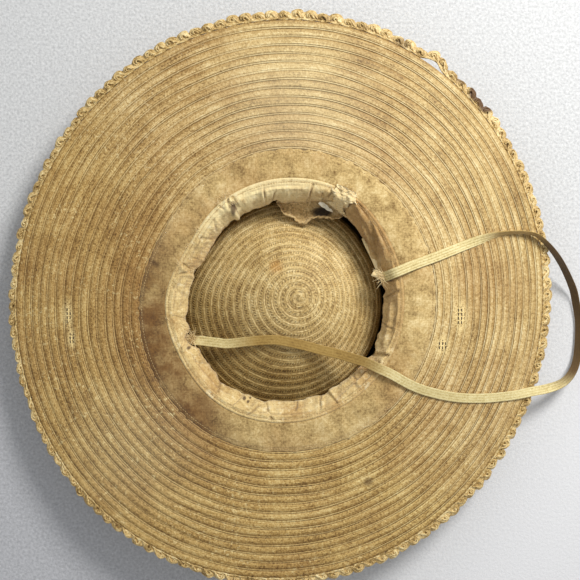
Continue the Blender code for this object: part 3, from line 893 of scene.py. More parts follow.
def brim_look():
    """The brim: pale bands with paired thin lines at the upper right, flecked and worn at the left, with
    painted shade there.
    """
    look = Look("brim_straw_look", 0.58)
    across = look.marks()[1]
    row = look.math("FRACT", across)
    step = look.math("FLOOR", across)
    # The left side: worn straw, and painted shade where the brim droops away from the light
    worn = look.side(-1.0, -0.45, -0.10, 0.16)
    rough = look.sway(look.side(0.7, 0.7, -0.02, 0.14), -0.6, 1.4)
    fleck = look.noise(760.0, 2.0, 0.75)
    rib = look.drawn(480.0, across, 2.2)
    streak = look.drawn(20.0, across, 11.0, 3.0)
    band = look.drawn(8.0, step, 5.3)
    patch = look.noise(55.0, 4.0, 0.65)
    tone = look.mixed(0.5, ((fleck, rough), (rib, 1.0), (streak, 1.1), (band, 0.5), (patch, 0.75)))
    look.ramp(tone, (0.0, (122, 90, 40)), (0.5, (212, 180, 117)), (1.0, (255, 236, 182)))
    dark, bright = brim_lines(look, across, row, step, worn)
    brim_wear(look, worn)
    brim_holes(look, fleck)
    height = look.mixed(0.5, ((fleck, 0.9), (rib, 0.8), (streak, 0.7)))
    return look.finish(look.sway(dark, -0.8, look.sway(bright, 0.5, height)), 0.00045)


def brim_lines(look, across, row, step, worn):
    """Two dark lines and a bright one in each row, fainter on the worn left side that carries painted shade,
    and a shaded outer half.
    """
    vary = look.window(look.drawn(14.0, step, 3.1), 0.36, 0.62)
    strong = look.times(look.sway(vary, 0.50, 0.50), look.sway(worn, -0.38, 1.0))
    dark = look.times(look.math("MAXIMUM", look.seam(across, 0.075), look.line(row, 0.22, 0.065)), strong)
    bright = look.times(look.line(row, 0.115, 0.06), strong)
    look.tint(look.times(look.window(row, 0.40, 1.0), strong), 0.85, (208, 190, 156))
    look.cover(dark, 0.85, (112, 80, 36))
    look.cover(bright, 0.75, (252, 234, 184))
    return dark, bright


def brim_wear(look, worn):
    """Brown clouds, a left side darker by wear and painted shade, a darker left inner edge, pale flakes, and
    paler straw areas.
    """
    look.tint(look.window(look.noise(11.0, 3.0, 0.6), 0.46, 0.70), 0.34, (182, 142, 84))
    # Darker to the left: partly wear, partly painted shade
    look.tint(worn, 0.36, (196, 162, 108))
    inner = look.times(look.near(OPENING_MIDDLE, 0.175, 0.36), look.side(-1.0, -0.30, 0.03, 0.115))
    look.tint(inner, 0.60, (178, 140, 86))
    where = look.times(look.window(look.noise(26.0), 0.40, 0.56), look.sway(worn, 0.8, 0.2))
    look.cover(look.times(look.window(look.noise(330.0, 3.0, 0.7), 0.57, 0.66), where), 0.8, (240, 218, 168))
    look.tint(look.side(-0.7, -0.7, -0.05, 0.06), 1.0, (253, 250, 230))
    look.tint(look.side(0.7, 0.7, 0.08, 0.19), 1.0, (244, 244, 240))
    for spot, radius, share in BRIM_PALE:
        look.cover(look.near(spot, radius, 0.9), share, (250, 232, 182))


def brim_holes(look, fleck):
    """Small worn places: dark slits between the threads that are left, with a pale ring, and one stain."""
    split = look.add("ShaderNodeSeparateXYZ", {0: look.place})
    threads = look.window(look.math("PINGPONG", look.times(split.outputs["X"], 380.0), 0.5), 0.24, 0.36)
    breaks = look.window(look.math("PINGPONG", look.times(split.outputs["Y"], 300.0), 0.5), 0.08, 0.20)
    broken = look.times(threads, breaks)
    for spot, radius, stretch in BRIM_HOLES:
        ring = look.times(look.near(spot, radius * 2.2, 0.9, stretch), look.window(fleck, 0.38, 0.52))
        look.cover(ring, 0.92, (255, 228, 160))
        look.cover(look.times(look.near(spot, radius, 0.3, stretch), broken), 0.95, (52, 34, 12))
    look.cover(look.near(BRIM_STAIN, 0.0055, 0.7), 0.6, (88, 60, 28))


def crown_look():
    """The crown: a bright ridge and a band of dark slanting stitches in each row, an orange stain, and
    painted shade on the lower left and deep in the fold.
    """
    look = Look("crown_straw_look", 0.62)
    along, across = look.marks()
    row = look.math("FRACT", across)
    fleck = look.noise(640.0, 2.0, 0.7)
    streak = look.drawn(80.0, across, 10.0, 3.0)
    tone = look.mixed(0.5, ((fleck, 1.4), (streak, 1.1), (look.noise(70.0, 3.0, 0.6), 0.9)))
    look.ramp(tone, (0.0, (118, 86, 38)), (0.5, (207, 175, 111)), (1.0, (252, 230, 172)))
    slant = look.math("PINGPONG", look.sway(row, 1.1, look.times(along, 1.25)), 0.5)
    dash = look.window(look.math("ADD", slant, look.sway(look.noise(260.0), 0.9, -0.45)), 0.14, 0.36)
    # Painted shade on the lower left of the dome, where it slopes away from the light; the stitches show
    # stronger there
    shade = look.side(-0.62, -0.78, 0.0, 0.052)
    dots = look.times(look.times(dash, look.line(row, 0.70, 0.24, 0.08)), look.sway(shade, 0.10, 0.50))
    ridge = look.times(look.line(row, 0.20, 0.18), look.window(look.noise(190.0), 0.35, 0.60))
    look.cover(dots, 1.0, (84, 58, 24))
    look.cover(look.seam(across, 0.08), 0.55, (96, 68, 30))
    look.cover(ridge, 0.28, (240, 216, 160))
    look.tint(shade, 1.0, (206, 199, 180))
    look.cover(look.near(CROWN_STAIN, 0.0085, 0.9), 0.42, (200, 134, 52))
    # Painted shade deep in the fold between the dome and the wall
    look.cover(look.attribute("fold"), 0.85, (52, 34, 14))
    height = look.mixed(0.5, ((fleck, 0.7), (streak, 0.5)))
    return look.finish(look.sway(dots, -1.0, look.sway(ridge, 0.5, height)), 0.00055)


def cloth_look(name, dark, middle, light, weave, flecks, clouds=0.8):
    """Plain woven cloth: crossed threads, flecks and soft clouds. The second result is its height."""
    look = Look(name, 0.9)
    look.shader.inputs["Sheen Weight"].default_value = 0.2
    look.shader.inputs["Sheen Roughness"].default_value = 0.6
    wave = {"Vector": look.place, "Scale": weave, "Distortion": 1.2, "Detail": 1.0}
    crossed = [look.add("ShaderNodeTexWave", wave, bands_direction=way).outputs["Fac"] for way in "XY"]
    threads = look.math("MAXIMUM", *crossed)
    fleck = look.noise(560.0, 3.0, 0.7)
    patch = look.noise(75.0, 4.0, 0.62)
    tone = look.sway(threads, 0.07, look.mixed(0.42, ((fleck, flecks), (patch, clouds))))
    look.ramp(tone, (0.0, dark), (0.5, middle), (1.0, light))
    return look, look.sway(patch, 0.8, look.sway(threads, 0.2, look.times(fleck, 0.7)))


def facing_look():
    """The facing: flecked brown cloth, darker towards the left and the lower left."""
    look, height = cloth_look(
        "facing_cloth_look", (118, 88, 40), (201, 171, 111), (244, 222, 166), 210.0, 1.25, 1.5)
    look.tint(look.window(look.noise(19.0, 4.0, 0.6), 0.44, 0.66), 0.42, (190, 152, 96))
    ragged = look.sway(look.window(look.noise(40.0, 4.0, 0.65), 0.40, 0.60), 0.55, 0.45)
    look.tint(look.times(look.side(-0.95, -0.35, 0.054, 0.104), ragged), 0.95, (152, 122, 62))
    return look.finish(height, 0.00030)


def band_look():
    """The sweatband: cream cotton, with painted shade in its creases, beside its folds and at the right,
    painted light on top, and a browner stitched edge.
    """
    look, height = cloth_look(
        "band_cotton_look", (156, 122, 64), (221, 193, 132), (250, 230, 178), 240.0, 1.1)
    look.tint(look.window(look.noise(26.0, 4.0, 0.62), 0.48, 0.68), 0.50, (196, 156, 96))
    # Painted shade on the right side, which faces away from the light; the pale blotches are fewer there
    right = look.side(0.9, 0.35, 0.050, 0.085)
    look.tint(right, 0.45, (190, 152, 98))
    # Browner cloth at the upper right, with painted shade where the lip slopes away from the light
    look.tint(look.near(BAND_BROWN_AND_SHADE, 0.034, 0.5), 0.45, (190, 158, 100))
    # Painted light along the top, where the band lies flat towards the light
    look.cover(look.side(-0.35, 1.0, 0.066, 0.092), 0.60, (255, 238, 182))
    blotch = look.noise(150.0, 4.0, 0.7)
    pale = look.times(look.window(blotch, 0.56, 0.66), look.sway(right, -0.40, 0.50))
    look.cover(pale, 1.0, (254, 240, 196))
    look.cover(look.window(blotch, 0.32, 0.44, 1.0, 0.0), 0.45, (160, 122, 66))
    hem = look.times(look.line(look.marks()[1], 0.205, 0.03), look.window(look.noise(120.0), 0.40, 0.60))
    look.cover(hem, 0.45, (132, 96, 48))
    # Painted shade in the creases and beside the folds
    look.cover(look.attribute("crease"), 0.80, (104, 72, 34))
    # Dark stains, and painted shadows in two tucks
    for spot, radius, stretch in BAND_STAINS_AND_TUCK_SHADOWS:
        look.cover(look.near(spot, radius, 0.6, stretch), 0.85, (72, 46, 18))
    return look.finish(height, 0.00065)


def plain_cloth(name, dark, middle, light):
    look, height = cloth_look(name, dark, middle, light, 260.0, 1.1)
    return look.finish(height, 0.0003)


def flap_look():
    """The torn flap: worn brown cloth, with a painted shadow in its mouth at its right."""
    look, height = cloth_look(
        "flap_cloth_look", (96, 68, 30), (206, 172, 112), (246, 222, 168), 260.0, 2.0)
    # Painted shadow inside the pocket's mouth, under the lip
    look.cover(look.near(FLAP_MOUTH_SHADOW, 0.0090, 0.55, (0.8, 1.5)), 0.93, (36, 22, 8))
    return look.finish(height, 0.0005)


def tape_look():
    """The strap: pale ribbed tape, woven across, with dark lines between its ribs and painted shade where it
    lies in shade.
    """
    look = Look("strap_tape_look", 0.75)
    look.shader.inputs["Sheen Weight"].default_value = 0.2
    along, across = look.marks()
    weft = look.math("PINGPONG", look.times(along, 1.1), 0.5)
    rib = look.math("PINGPONG", look.times(across, 8.0), 0.5)
    fleck = look.noise(640.0, 3.0, 0.7)
    tone = look.mixed(0.34, ((fleck, 1.1), (look.noise(60.0, 3.0, 0.6), 0.6)))
    tone = look.sway(look.window(rib, 0.0, 0.22), 0.30, tone)
    look.ramp(tone, (0.0, (130, 104, 48)), (0.5, (211, 191, 129)), (1.0, (248, 236, 184)))
    # Painted shade where the tape faces away from the light
    for middle, radius, soft, share, tint in TAPE_PAINTED_SHADE:
        look.tint(look.near(middle, radius, soft), share, tint)
    return look.finish(look.sway(fleck, 0.3, look.sway(weft, 0.5, rib)), 0.00025)


def trim_look(name, dark, middle, light):
    """Looped braid: warm and shiny, browner where it is worn and at two curled knobs."""
    look = Look(name, 0.5)
    along, across = look.marks()
    drawn = look.add("ShaderNodeCombineXYZ", {0: look.times(along, 0.35), 1: look.times(across, 16.0)})
    fibre = look.noise(1.0, 3.0, vector=drawn.outputs[0])
    fleck = look.noise(520.0, 3.0, 0.7)
    tone = look.mixed(0.50, ((fibre, 1.2), (fleck, 1.9), (look.noise(90.0, 3.0, 0.6), 1.5)))
    look.ramp(tone, (0.0, dark), (0.45, middle), (1.0, light))
    for spot, radius, share in TRIM_STAINS:
        look.cover(look.near(spot, radius, 0.4), share, (88, 56, 20))
    return look.finish(look.sway(fibre, 0.8, look.times(fleck, 0.6)), 0.00030)


def make_camera():
    camera = bpy.data.objects.new("camera", bpy.data.cameras.new("camera"))
    camera.location = CAMERA_PLACE
    camera.data.angle = math.radians(CAMERA_VIEW)
    bpy.context.scene.collection.objects.link(camera)
    bpy.context.scene.camera = camera


def make_strap(material):
    """A flat ribbed tape along its route, turned from flat to its edge where it passes the rim."""
    route = rounded(STRAP_ROUTE, 12)
    line = route[:, :3]
    stand = np.radians(route[:, 3])[:, None]
    way = unit(np.gradient(line, axis=0))
    left = unit(np.stack((-way[:, 1], way[:, 0], np.zeros(len(way))), -1))
    normal = np.cos(stand) * np.cross(way, left) + np.sin(stand) * left
    across = np.cross(normal, way)
    ribs = 4
    share = np.linspace(-0.5, 0.5, 4 * ribs + 1)
    thick = 0.5 * STRAP_THICKNESS * (0.80 + 0.20 * np.cos(math.tau * ribs * share))
    thick[0] = thick[-1] = 0.30 * STRAP_THICKNESS
    wide = np.append(share, share[::-1]) * STRAP_WIDTH
    deep = np.append(thick, -thick[::-1])
    strands = Strands()
    strands.grid(line[:, None] + across[:, None] * wide[:, None] + normal[:, None] * deep[:, None])
    piece = strands.piece("strap_tape")
    dress(piece, "strap_tape", material, "chin_strap")


def by_row(values, lines):
    """Values of lines, where all lines of a row of braid take their first one's."""
    return values[np.arange(len(values)) // lines * lines]


def brim_wander(angle, rows):
    """How far the brim's rows stray sideways and up, fading out at the facing and the rim."""
    fade = np.sin(np.pi * np.clip(rows / BRIM_ROWS, 0.0, 1.0)) ** 0.5
    side = BRIM_STRAY * ripples(angle, rows * 0.25, 9, 11) * fade
    up = BRIM_WAVE * ripples(angle, rows * 0.10, 7, 12) * fade
    return side, up


def make_brim(material):
    """A straw ring with every row of braid on both sides."""
    angle, along = turned_round(BRIM_STEPS)
    lines = [(reach, STRAW, 0.0) for reach in (0.0, 0.4, 0.8)]
    for row in range(BRIM_ROWS):
        lines += [(1.0 + (row + part) / BRIM_ROWS, STRAW + relief, row + part) for part, relief in BRAID]
    lines += [(2.0, STRAW, BRIM_ROWS), (2.0, 0.0, BRIM_ROWS)]
    for row in reversed(range(BRIM_ROWS)):
        for part, relief in BRAID_BELOW[::-1]:
            lines.append((1.0 + (row + part) / BRIM_ROWS, -relief, row + part))
    for row in reversed(range(FACING_ROWS)):
        for part, relief in BRAID_BELOW[::-1]:
            lines.append(((row + part) / FACING_ROWS, -relief, row + part - FACING_ROWS))
    reach, height, rows = (np.array(column)[None, :] for column in zip(*lines))
    side, up = brim_wander(angle, rows)
    radius = brim_radius(angle, reach) + side
    points = on_hat(angle, radius, brim_level(angle, radius) + height + up)
    turns = by_row(np.round(math.tau * radius.mean(0) / STITCH), len(BRAID))
    piece = ring_grid("brim_braid", points, along, turns, np.append(rows[0], rows[0][0]))
    dress(piece, "brim_straw", material, "brim")


def crown_side(points, side, braid, steps):
    """One side of the crown: radius and height where rows of braid stand out of a smooth line. steps are
    the turns of the spiral that each line of the mesh starts at."""
    line = rounded(points, 24)
    way = unit(np.gradient(line, axis=0))
    normal = np.stack((-way[:, 1], way[:, 0]), -1) * side
    distance = np.append(0.0, np.cumsum(np.linalg.norm(np.diff(line, axis=0), axis=-1)))
    rows = np.arange(-1, int(distance[-1] / CROWN_ROW) + 1)
    share, relief = (np.array(column) for column in zip(*braid))
    rows = (rows[:, None] + share[None, :]).ravel()
    relief = np.tile(relief, len(rows) // len(share))
    run = np.clip((rows[None, :] + steps) * CROWN_ROW, 0.0, distance[-1])
    radius = np.interp(run, distance, line[:, 0]) + np.interp(run, distance, normal[:, 0]) * relief
    height = np.interp(run, distance, line[:, 1]) + np.interp(run, distance, normal[:, 1]) * relief
    return rows, np.maximum(0.0, radius), np.maximum(0.0, height)


def make_crown(material):
    """A straw crown with its top pushed in, braided in one spiral from its middle to its rim."""
    along = turned_round(CROWN_STEPS)[1]
    steps = along[:, None]
    inner_rows, inner_radius, inner_height = crown_side(CROWN_INSIDE, 1.0, CROWN_BRAID, steps)
    outer_rows, outer_radius, outer_height = crown_side(CROWN_OUTSIDE, -1.0, CROWN_BRAID_BELOW, steps)
    inner = len(inner_rows)
    rows = np.append(inner_rows, outer_rows[::-1])
    radius = np.concatenate((inner_radius, outer_radius[:, ::-1]), 1)
    height = np.concatenate((inner_height, outer_height[:, ::-1]), 1)
    points = crown_place(steps * 360.0, radius, height)
    turns = np.maximum(FEWEST_STITCHES, np.round(math.tau * np.abs(rows) * CROWN_ROW / STITCH))
    turns = np.minimum(turns, round(math.tau * CROWN_RIM / STITCH))
    turns[:inner] = by_row(turns[:inner], len(CROWN_BRAID))
    piece = ring_grid("crown_braid", points, along, turns, np.append(rows, rows[0]), len(CROWN_BRAID))
    # How far each inner point lies below the top of the fold's painted shade
    deep = np.zeros(height.shape)
    deep[:, :inner] = np.clip((FOLD_SHADE_TOP - inner_height) / FOLD_SHADE_FALL, 0.0, 1.0)
    mark_points(piece, "fold", deep)
    with edited(piece) as work:
        bmesh.ops.remove_doubles(work, verts=work.verts, dist=2e-5)
    dress(piece, "crown_straw", material, "crown")


def make_facing(material):
    """A cloth ring with soft puckers, whose edge thins out on the straw, and a sewn line near it."""
    angle, along = turned_round(FACING_STEPS)
    share = np.linspace(0.0, 1.0, 30)
    puckers = FACING_PUCKER * ripples(angle, share[None, :] * 1.5, 46, 21)
    waves = FACING_WAVE * ripples(angle, share[None, :] * 0.8, 11, 22)
    hem = 0.00010 * np.exp(-((share - 0.945) / 0.03) ** 2) - 0.00022 * np.exp(-((share - 0.90) / 0.022) ** 2)
    edge = np.clip((1.0 - share) / 0.16, 0.0, 1.0) * np.clip(share / 0.06, 0.0, 1.0)
    top = STRAW + GAP + FACING_HEIGHT * edge + (puckers + waves) * np.sin(np.pi * share) + hem
    low = np.full_like(top, STRAW)
    ragged = 0.0006 * ripples(angle, 0.0, 60, 23) * share[None, :] ** 6
    reach = share[None, :] + ragged / FACING_WIDTH
    points = np.concatenate((facing_place(angle, reach, top), facing_place(angle, reach[:, ::-1], low)), 1)
    across = np.concatenate((share, share[::-1], share[:1]))
    turns = np.full(2 * len(share), round(math.tau * 0.110 / STITCH))
    piece = ring_grid("facing_ring", points, along, turns, across)
    dress(piece, "facing_cloth", material, "brim_facing")


def rising(value, start, width):
    """0 up to a start, and from there up to 1 over a width."""
    return np.clip((value - start) / width, 0.0, 1.0)


def band_relief(angle, reach):
    """How far the sweatband's creases, folds and gathers stand out of its smooth shape, and how deep each
    place lies in a crease or beside a fold, from 0 to 1, which sets the painted shade there."""
    gathers = BAND_GATHER * ripples(angle, reach * 1.2, 34, 31)
    crumple = BAND_CRUMPLE * ripples(angle, reach * 3.0, 110, 32)
    relief = (gathers + crumple) * np.clip(reach * 2.2, 0.0, 1.0)
    deep = np.zeros(np.broadcast(angle, reach).shape)
    for crease in CREASES:
        off = away(angle, crease.angle + crease.slant * (reach - 0.5)) / crease.width
        inside = rising(reach, crease.start, 0.12) * rising(-reach, -crease.end, 0.10)
        groove = np.exp(-off * off * 2.2)
        shoulder = np.exp(-((off - 1.6) / 1.1) ** 2)
        relief = relief + crease.depth * inside * (0.38 * shoulder - 0.85 * groove)
        deep = deep + inside * groove ** 1.6 * min(1.0, crease.depth / 0.0020)
    for fold in FOLDS:
        share = away(angle, fold.start) / (fold.end - fold.start)
        line = fold.near + (fold.far - fold.near) * share
        ends = rising(share, 0.0, 0.2) * rising(-share, -1.0, 0.2)
        off = (reach - line) / fold.width
        ridge = np.exp(-off * off * 2.0) - 0.45 * np.exp(-((off + 1.5) / 0.7) ** 2)
        relief = relief + fold.height * ends * ridge
        deep = deep + 0.45 * ends * np.exp(-((off + 1.5) / 0.30) ** 2)
    return relief, np.clip(deep, 0.0, 1.0)


def make_sweatband(material):
    """A cotton band with a raised sewn edge, a bend over the brim and a creased, gathered lip."""
    angle, along = turned_round(BAND_STEPS)
    knots = np.array(BAND_PROFILE)
    reach = np.linspace(0.0, 1.02, BAND_LINES)
    height = np.interp(reach, knots[:, 0], knots[:, 1])
    top = band_place(angle, reach[None, :], height[None, :])
    outward = outward_of(top)
    outward = outward * np.where(outward[..., 2:] < 0.0, -1.0, 1.0)
    relief, deep = band_relief(angle, reach[None, :])
    top = top + outward * relief[..., None]
    under = np.array((1.0, 0.75, BAND_TURN, 0.15, 0.0))
    low = band_place(angle, under[None, :], 0.0)
    points = np.concatenate((top, low), 1)
    across = np.concatenate((reach, under, reach[:1]))
    turns = np.full(len(reach) + len(under), round(math.tau * 0.09 / STITCH))
    piece = ring_grid("sweatband_cloth", points, along, turns, across)
    # The crease marks carry the painted shade of the creases and folds
    mark_points(piece, "crease", np.concatenate((deep, np.zeros((len(deep), len(under)))), 1))
    dress(piece, "band_cotton", material, "sweatband")


def stitch_line(strands, place, sewing):
    """Short threads in a ring on a cloth, each with its ends pulled into it."""
    share = np.linspace(-0.5, 0.5, 5)
    height = sewing.height + THREAD_LIFT * (1.0 - (2.0 * share) ** 2) - THREAD_SINK
    for index in range(sewing.count):
        angles = 360.0 * index / sewing.count + share * sewing.length
        reach = sewing.reach + sewing.sway * math.sin(index * 2.4)
        strands.add(place(angles, reach, height), sewing.radius, 5)


def make_stitches(material):
    """The sewing along the sweatband's edge and the facing's edge."""
    strands = Strands()
    stitch_line(strands, band_place, BAND_SEWING)
    stitch_line(strands, facing_place, FACING_SEWING)
    dress(strands.piece("sewn_threads"), "band_cotton", material)


def knob_sizes(seed):
    """For each scallop: how far it stands out, how high it bulges and how far its crest leans."""
    draw = np.random.default_rng(seed)
    middles = (np.arange(SCALLOPS) + 0.5) * 360.0 / SCALLOPS
    size = 1.0 - 0.28 * hump(middles, 215.0, 110.0) + draw.uniform(-0.20, 0.08, SCALLOPS)
    bulge = draw.uniform(0.50, 1.40, SCALLOPS)
    lean = draw.uniform(-0.20, 0.80, SCALLOPS)
    return size, bulge, lean


def trim_place(angle, out, height):
    """A place on the trim: how far out from the rim in shares of its width, and height over its middle."""
    rim = rim_radius(angle)
    loose = LOOSE_GAP * hump(angle, LOOSE_ANGLE, LOOSE_SPREAD)
    level = brim_level(angle, rim)
    fall = (level - brim_level(angle, rim - TRIM_WIDTH)) / TRIM_WIDTH
    reach = out * TRIM_WIDTH
    return on_hat(angle, rim + GAP + loose + reach, level + 0.5 * STRAW + fall * (reach + loose) + height)


def make_trim_ribbon(material):
    """The scalloped ribbon round the rim, with a soft knob and a dimple in each scallop."""
    angle, along = turned_round(SCALLOPS * KNOB_STEPS)
    size, bulge, lean = knob_sizes(KNOB_SEED)
    turn = along[:-1, None] * SCALLOPS
    knob = np.floor(turn).astype(int) % SCALLOPS
    part = turn - np.floor(turn)
    part = part + lean[knob] * part * (1.0 - part)
    crest = np.maximum(0.0, np.sin(np.pi * part)) ** 0.6
    reach = size[knob] * (0.72 + 0.28 * crest)
    share = np.linspace(0.0, 1.0, 11)[None, :]
    round_off = np.sqrt(np.maximum(0.0, 1.0 - (2.0 * share - 1.0) ** 6))
    knob_shape = np.exp(-((share - 0.66) / 0.26) ** 2) * crest
    dimple = np.exp(-((share - 0.50) / 0.12) ** 2 - ((part - 0.60) / 0.12) ** 2)
    fibre = 0.00016 * ripples(angle, share * 9.0, 400, 42)
    top = (TRIM_TOP + fibre) * round_off + KNOB_BULGE * bulge[knob] * knob_shape - KNOB_DIMPLE * dimple
    low = TRIM_LOW * np.broadcast_to(round_off, top.shape)
    out = reach * share
    points = np.concatenate((trim_place(angle, out, top), trim_place(angle, out[:, ::-1], low[:, ::-1])), 1)
    across = np.concatenate((share[0], share[0, ::-1], share[0, :1]))
    piece = ring_grid("trim_ribbon", points, along, np.full(2 * share.size, 4.0 * SCALLOPS), across)
    dress(piece, "trim_braid", material, "edge_trim")


def make_trim_loops(material):
    """The braid's strands: a few side by side that curl over on each scallop, and two twisted cords at the
    ribbon's foot."""
    size, bulge, lean = knob_sizes(KNOB_SEED)
    draw = np.random.default_rng(43)
    strands = Strands()
    half = 180.0 / SCALLOPS
    wave = rounded(KNOB_WAVE, 3)
    share = np.linspace(0.0, 1.0, len(wave))
    for knob in range(SCALLOPS):
        middle = (2.0 * knob + 1.0) * half - 0.25 * lean[knob] * half
        for strand in range(KNOB_STRANDS):
            inward = 1.0 - 0.27 * strand + draw.uniform(-0.07, 0.07)
            sway = draw.uniform(-0.08, 0.08, 2)
            angle = middle + half * (wave[:, 0] * inward + sway[0])
            out = size[knob] * (0.40 + (wave[:, 1] - 0.40) * inward + sway[1])
            height = 0.0006 + KNOB_BULGE * bulge[knob] * np.sin(np.pi * share) - 0.0008 * (out > 0.78)
            height = height + 0.0003 * strand + 0.0003 * draw.normal()
            thick = draw.uniform(0.00055, 0.00095) * (1.0 - 0.5 * share ** 3)
            strands.add(trim_place(angle, out, height), thick, 5, 0.75)
    for turn in (0.0, math.pi):
        angle = np.linspace(0.0, 360.0, 6 * SCALLOPS + 1)
        twist = np.radians(angle) * SCALLOPS * 0.5 + turn
        line = trim_place(angle, 0.07 + 0.05 * np.sin(twist), 0.0007 + 0.0004 * np.cos(twist))
        strands.add(line, CORD_RADIUS, 5)
    dress(strands.piece("trim_loops"), "trim_braid", material)


def crumpled(points, amount, seed, scale):
    """Push a grid of points about in smooth uneven waves."""
    draw = np.random.default_rng(seed)
    moved = points.copy()
    for _ in range(9):
        way = draw.normal(size=3)
        way = way / np.linalg.norm(way)
        wave = draw.normal(size=3) * scale
        moved = moved + way * amount * np.sin(points @ wave + draw.uniform(0.0, math.tau))[..., None] / 3.0
    return moved


def cloth_piece(name, grid, thickness):
    """A sheet of cloth over a grid of points, with a thickness below it."""
    outward = outward_of(grid)
    if outward[..., 2].mean() < 0.0:
        outward = -outward
    return shell_piece(name, grid, grid - outward * thickness)


def shell_piece(name, top, low):
    """A piece between two grids of points."""
    strands = Strands()
    strands.grid(np.concatenate((top, low[:, ::-1]), 1))
    return strands.piece(name)


def make_flap(material, pale):
    """A torn pocket of cloth that hangs from the lip and turns up again at its pale, ragged free edge."""
    angle = np.linspace(*FLAP_ANGLES, 64)[:, None]
    share = hump(angle, FLAP_MIDDLE, FLAP_SPREAD) ** 0.6
    profile = rounded(FLAP_PROFILE, 4)
    inward = profile[None, :, 0] * share
    down = profile[None, :, 1] * (0.35 + 0.65 * share) + 0.0005
    lip = band_place(angle, 1.0, 0.0)
    radius = np.hypot(lip[..., 0] - OPENING_MIDDLE[0], lip[..., 1] - OPENING_MIDDLE[1]) - inward
    edge = np.linspace(0.0, 1.0, len(profile))[None, :] ** 3
    radius = radius + 0.0004 * edge * ripples(angle, 0.0, 60, 51)
    grid = crumpled(on_hat(angle, radius, lip[..., 2] - down), 0.0014, 52, 460.0)
    dress(cloth_piece("flap_pocket", grid, FLAP_THICKNESS), "flap_cloth", material, "band_flap")
    strands = Strands()
    rolled = grid[6:-8, -1]
    uneven = 0.0002 * ripples(np.linspace(0.0, 360.0, len(rolled)), 0.0, 5, 53)
    strands.add(rolled, FLAP_RIM + uneven, 8, 0.7)
    dress(strands.piece("flap_rim"), "flap_cloth", pale)


def make_sliver(material):
    """A pale scrap of lining that shows between the lip and the torn flap."""
    start = np.array(SLIVER_START)
    way = np.array(SLIVER_END) - start
    step = np.linspace(0.0, 1.0, 14)[:, None, None]
    side = np.linspace(-1.0, 1.0, 7)[None, :, None]
    across = unit(np.array((-way[1], way[0], 0.0)))
    wide = SLIVER_WIDTH * np.sin(np.pi * (0.06 + 0.72 * (1.0 - step))) ** 0.9
    grid = crumpled(start + way * step + across * side * wide, 0.0006, 55, 700.0)
    dress(cloth_piece("lining_sliver", grid, SLIVER_THICKNESS), "scrap_tape", material)


def make_rolled_hem(material):
    """The lip's edge, rolled back and lit, where the strap comes over it at the right."""
    angle = np.linspace(*HEM_ANGLES, 40)
    thick = HEM_RADIUS * np.sin(np.pi * np.linspace(0.08, 0.94, len(angle))) ** 0.7
    line = band_place(angle, 1.03 - 0.02 * np.sin(np.radians(angle * 9.0)), HEM_HEIGHT)
    strands = Strands()
    strands.add(line, thick, 8, 0.8)
    dress(strands.piece("rolled_hem"), "band_cotton", material)


def make_scrap(material):
    """A crumpled, frayed bunch of pale tape on the band."""
    reach = np.linspace(*SCRAP_REACH, 60)[:, None]
    share = np.linspace(-1.0, 1.0, 40)[None, :]
    wide = SCRAP_WIDTH + 1.3 * np.sin(reach * 7.0) + 0.8 * np.sin(reach * 17.0 + share * 3.0)
    angle = SCRAP_MIDDLE + share * wide
    height = SCRAP_HEIGHT + 0.0010 * (1.0 - share ** 2)
    grid = crumpled(band_place(angle, reach, height), 0.0012, 61, 900.0)
    grid = crumpled(grid, 0.0006, 62, 2600.0)
    dress(cloth_piece("scrap_bunch", grid, SCRAP_THICKNESS), "scrap_tape", material, "torn_scrap")


def frayed(strands, place, way, count, length, radius, spread, seed):
    """Loose fibres that leave a place in a bundle and curl."""
    draw = np.random.default_rng(seed)
    way = unit(np.asarray(way, float))
    step = np.linspace(0.0, 1.0, 8)[:, None]
    for _ in range(count):
        start = np.asarray(place) + draw.normal(size=3) * spread
        heading = unit(way + draw.normal(size=3) * 0.35)
        curl = draw.normal(size=3) * 0.5
        reach = length * draw.uniform(0.45, 1.0)
        line = start + heading * step * reach + curl * (step ** 2) * reach
        strands.add(line, radius * (1.0 - 0.7 * step[:, 0]), 4)


def make_strap_ends(material):
    """The tape's sewn ends with their frayed tufts. The right one turns back and down to the lip."""
    left = np.array(STRAP_ROUTE[0][:3])
    left_way = unit(left - np.array(STRAP_ROUTE[1][:3]))
    right = np.array(STRAP_ROUTE[-1][:3])
    for name, node, place, way, length, rise in (
        ("strap_tuft_left", "strap_end_left", left, left_way, 0.0084, 0.0004),
        ("strap_tuft_right", "strap_end_right", right, unit(np.array((-0.85, 0.40, -0.35))), 0.0092, 0.0006),
    ):
        across = unit(np.array((-way[1], way[0], 0.0)))
        lean = np.cross(way, across)
        step = np.linspace(0.0, 1.0, 14)[:, None]
        side = np.linspace(-1.0, 1.0, 10)[None, :]
        wide = TUFT_WIDTH - TUFT_TAPER * step
        grid = (place + way * (step * length)[..., None] + across * (side * wide)[..., None]
                + lean * (step * rise * (1.0 + 0.5 * np.sin(side * 4.0)))[..., None])
        grid = crumpled(grid, 0.0006, 71, 900.0)
        thick = outward_of(grid) * TUFT_THICKNESS
        dress(shell_piece(name, grid + thick, grid - thick), "strap_tape", material, node)
    strands = Strands()
    for place, way, count in ((left, (-0.2, 0.9, 0.5), 46), (left, (0.2, -0.8, 0.2), 16),
                              (right, (-0.9, 0.42, 0.15), 34), (right, (-0.5, -0.8, 0.1), 14)):
        frayed(strands, place, way, count, TUFT_FIBRE, TUFT_FIBRE_RADIUS, 0.0010, 72 + count)
    dress(strands.piece("strap_threads"), "strap_tape", material)


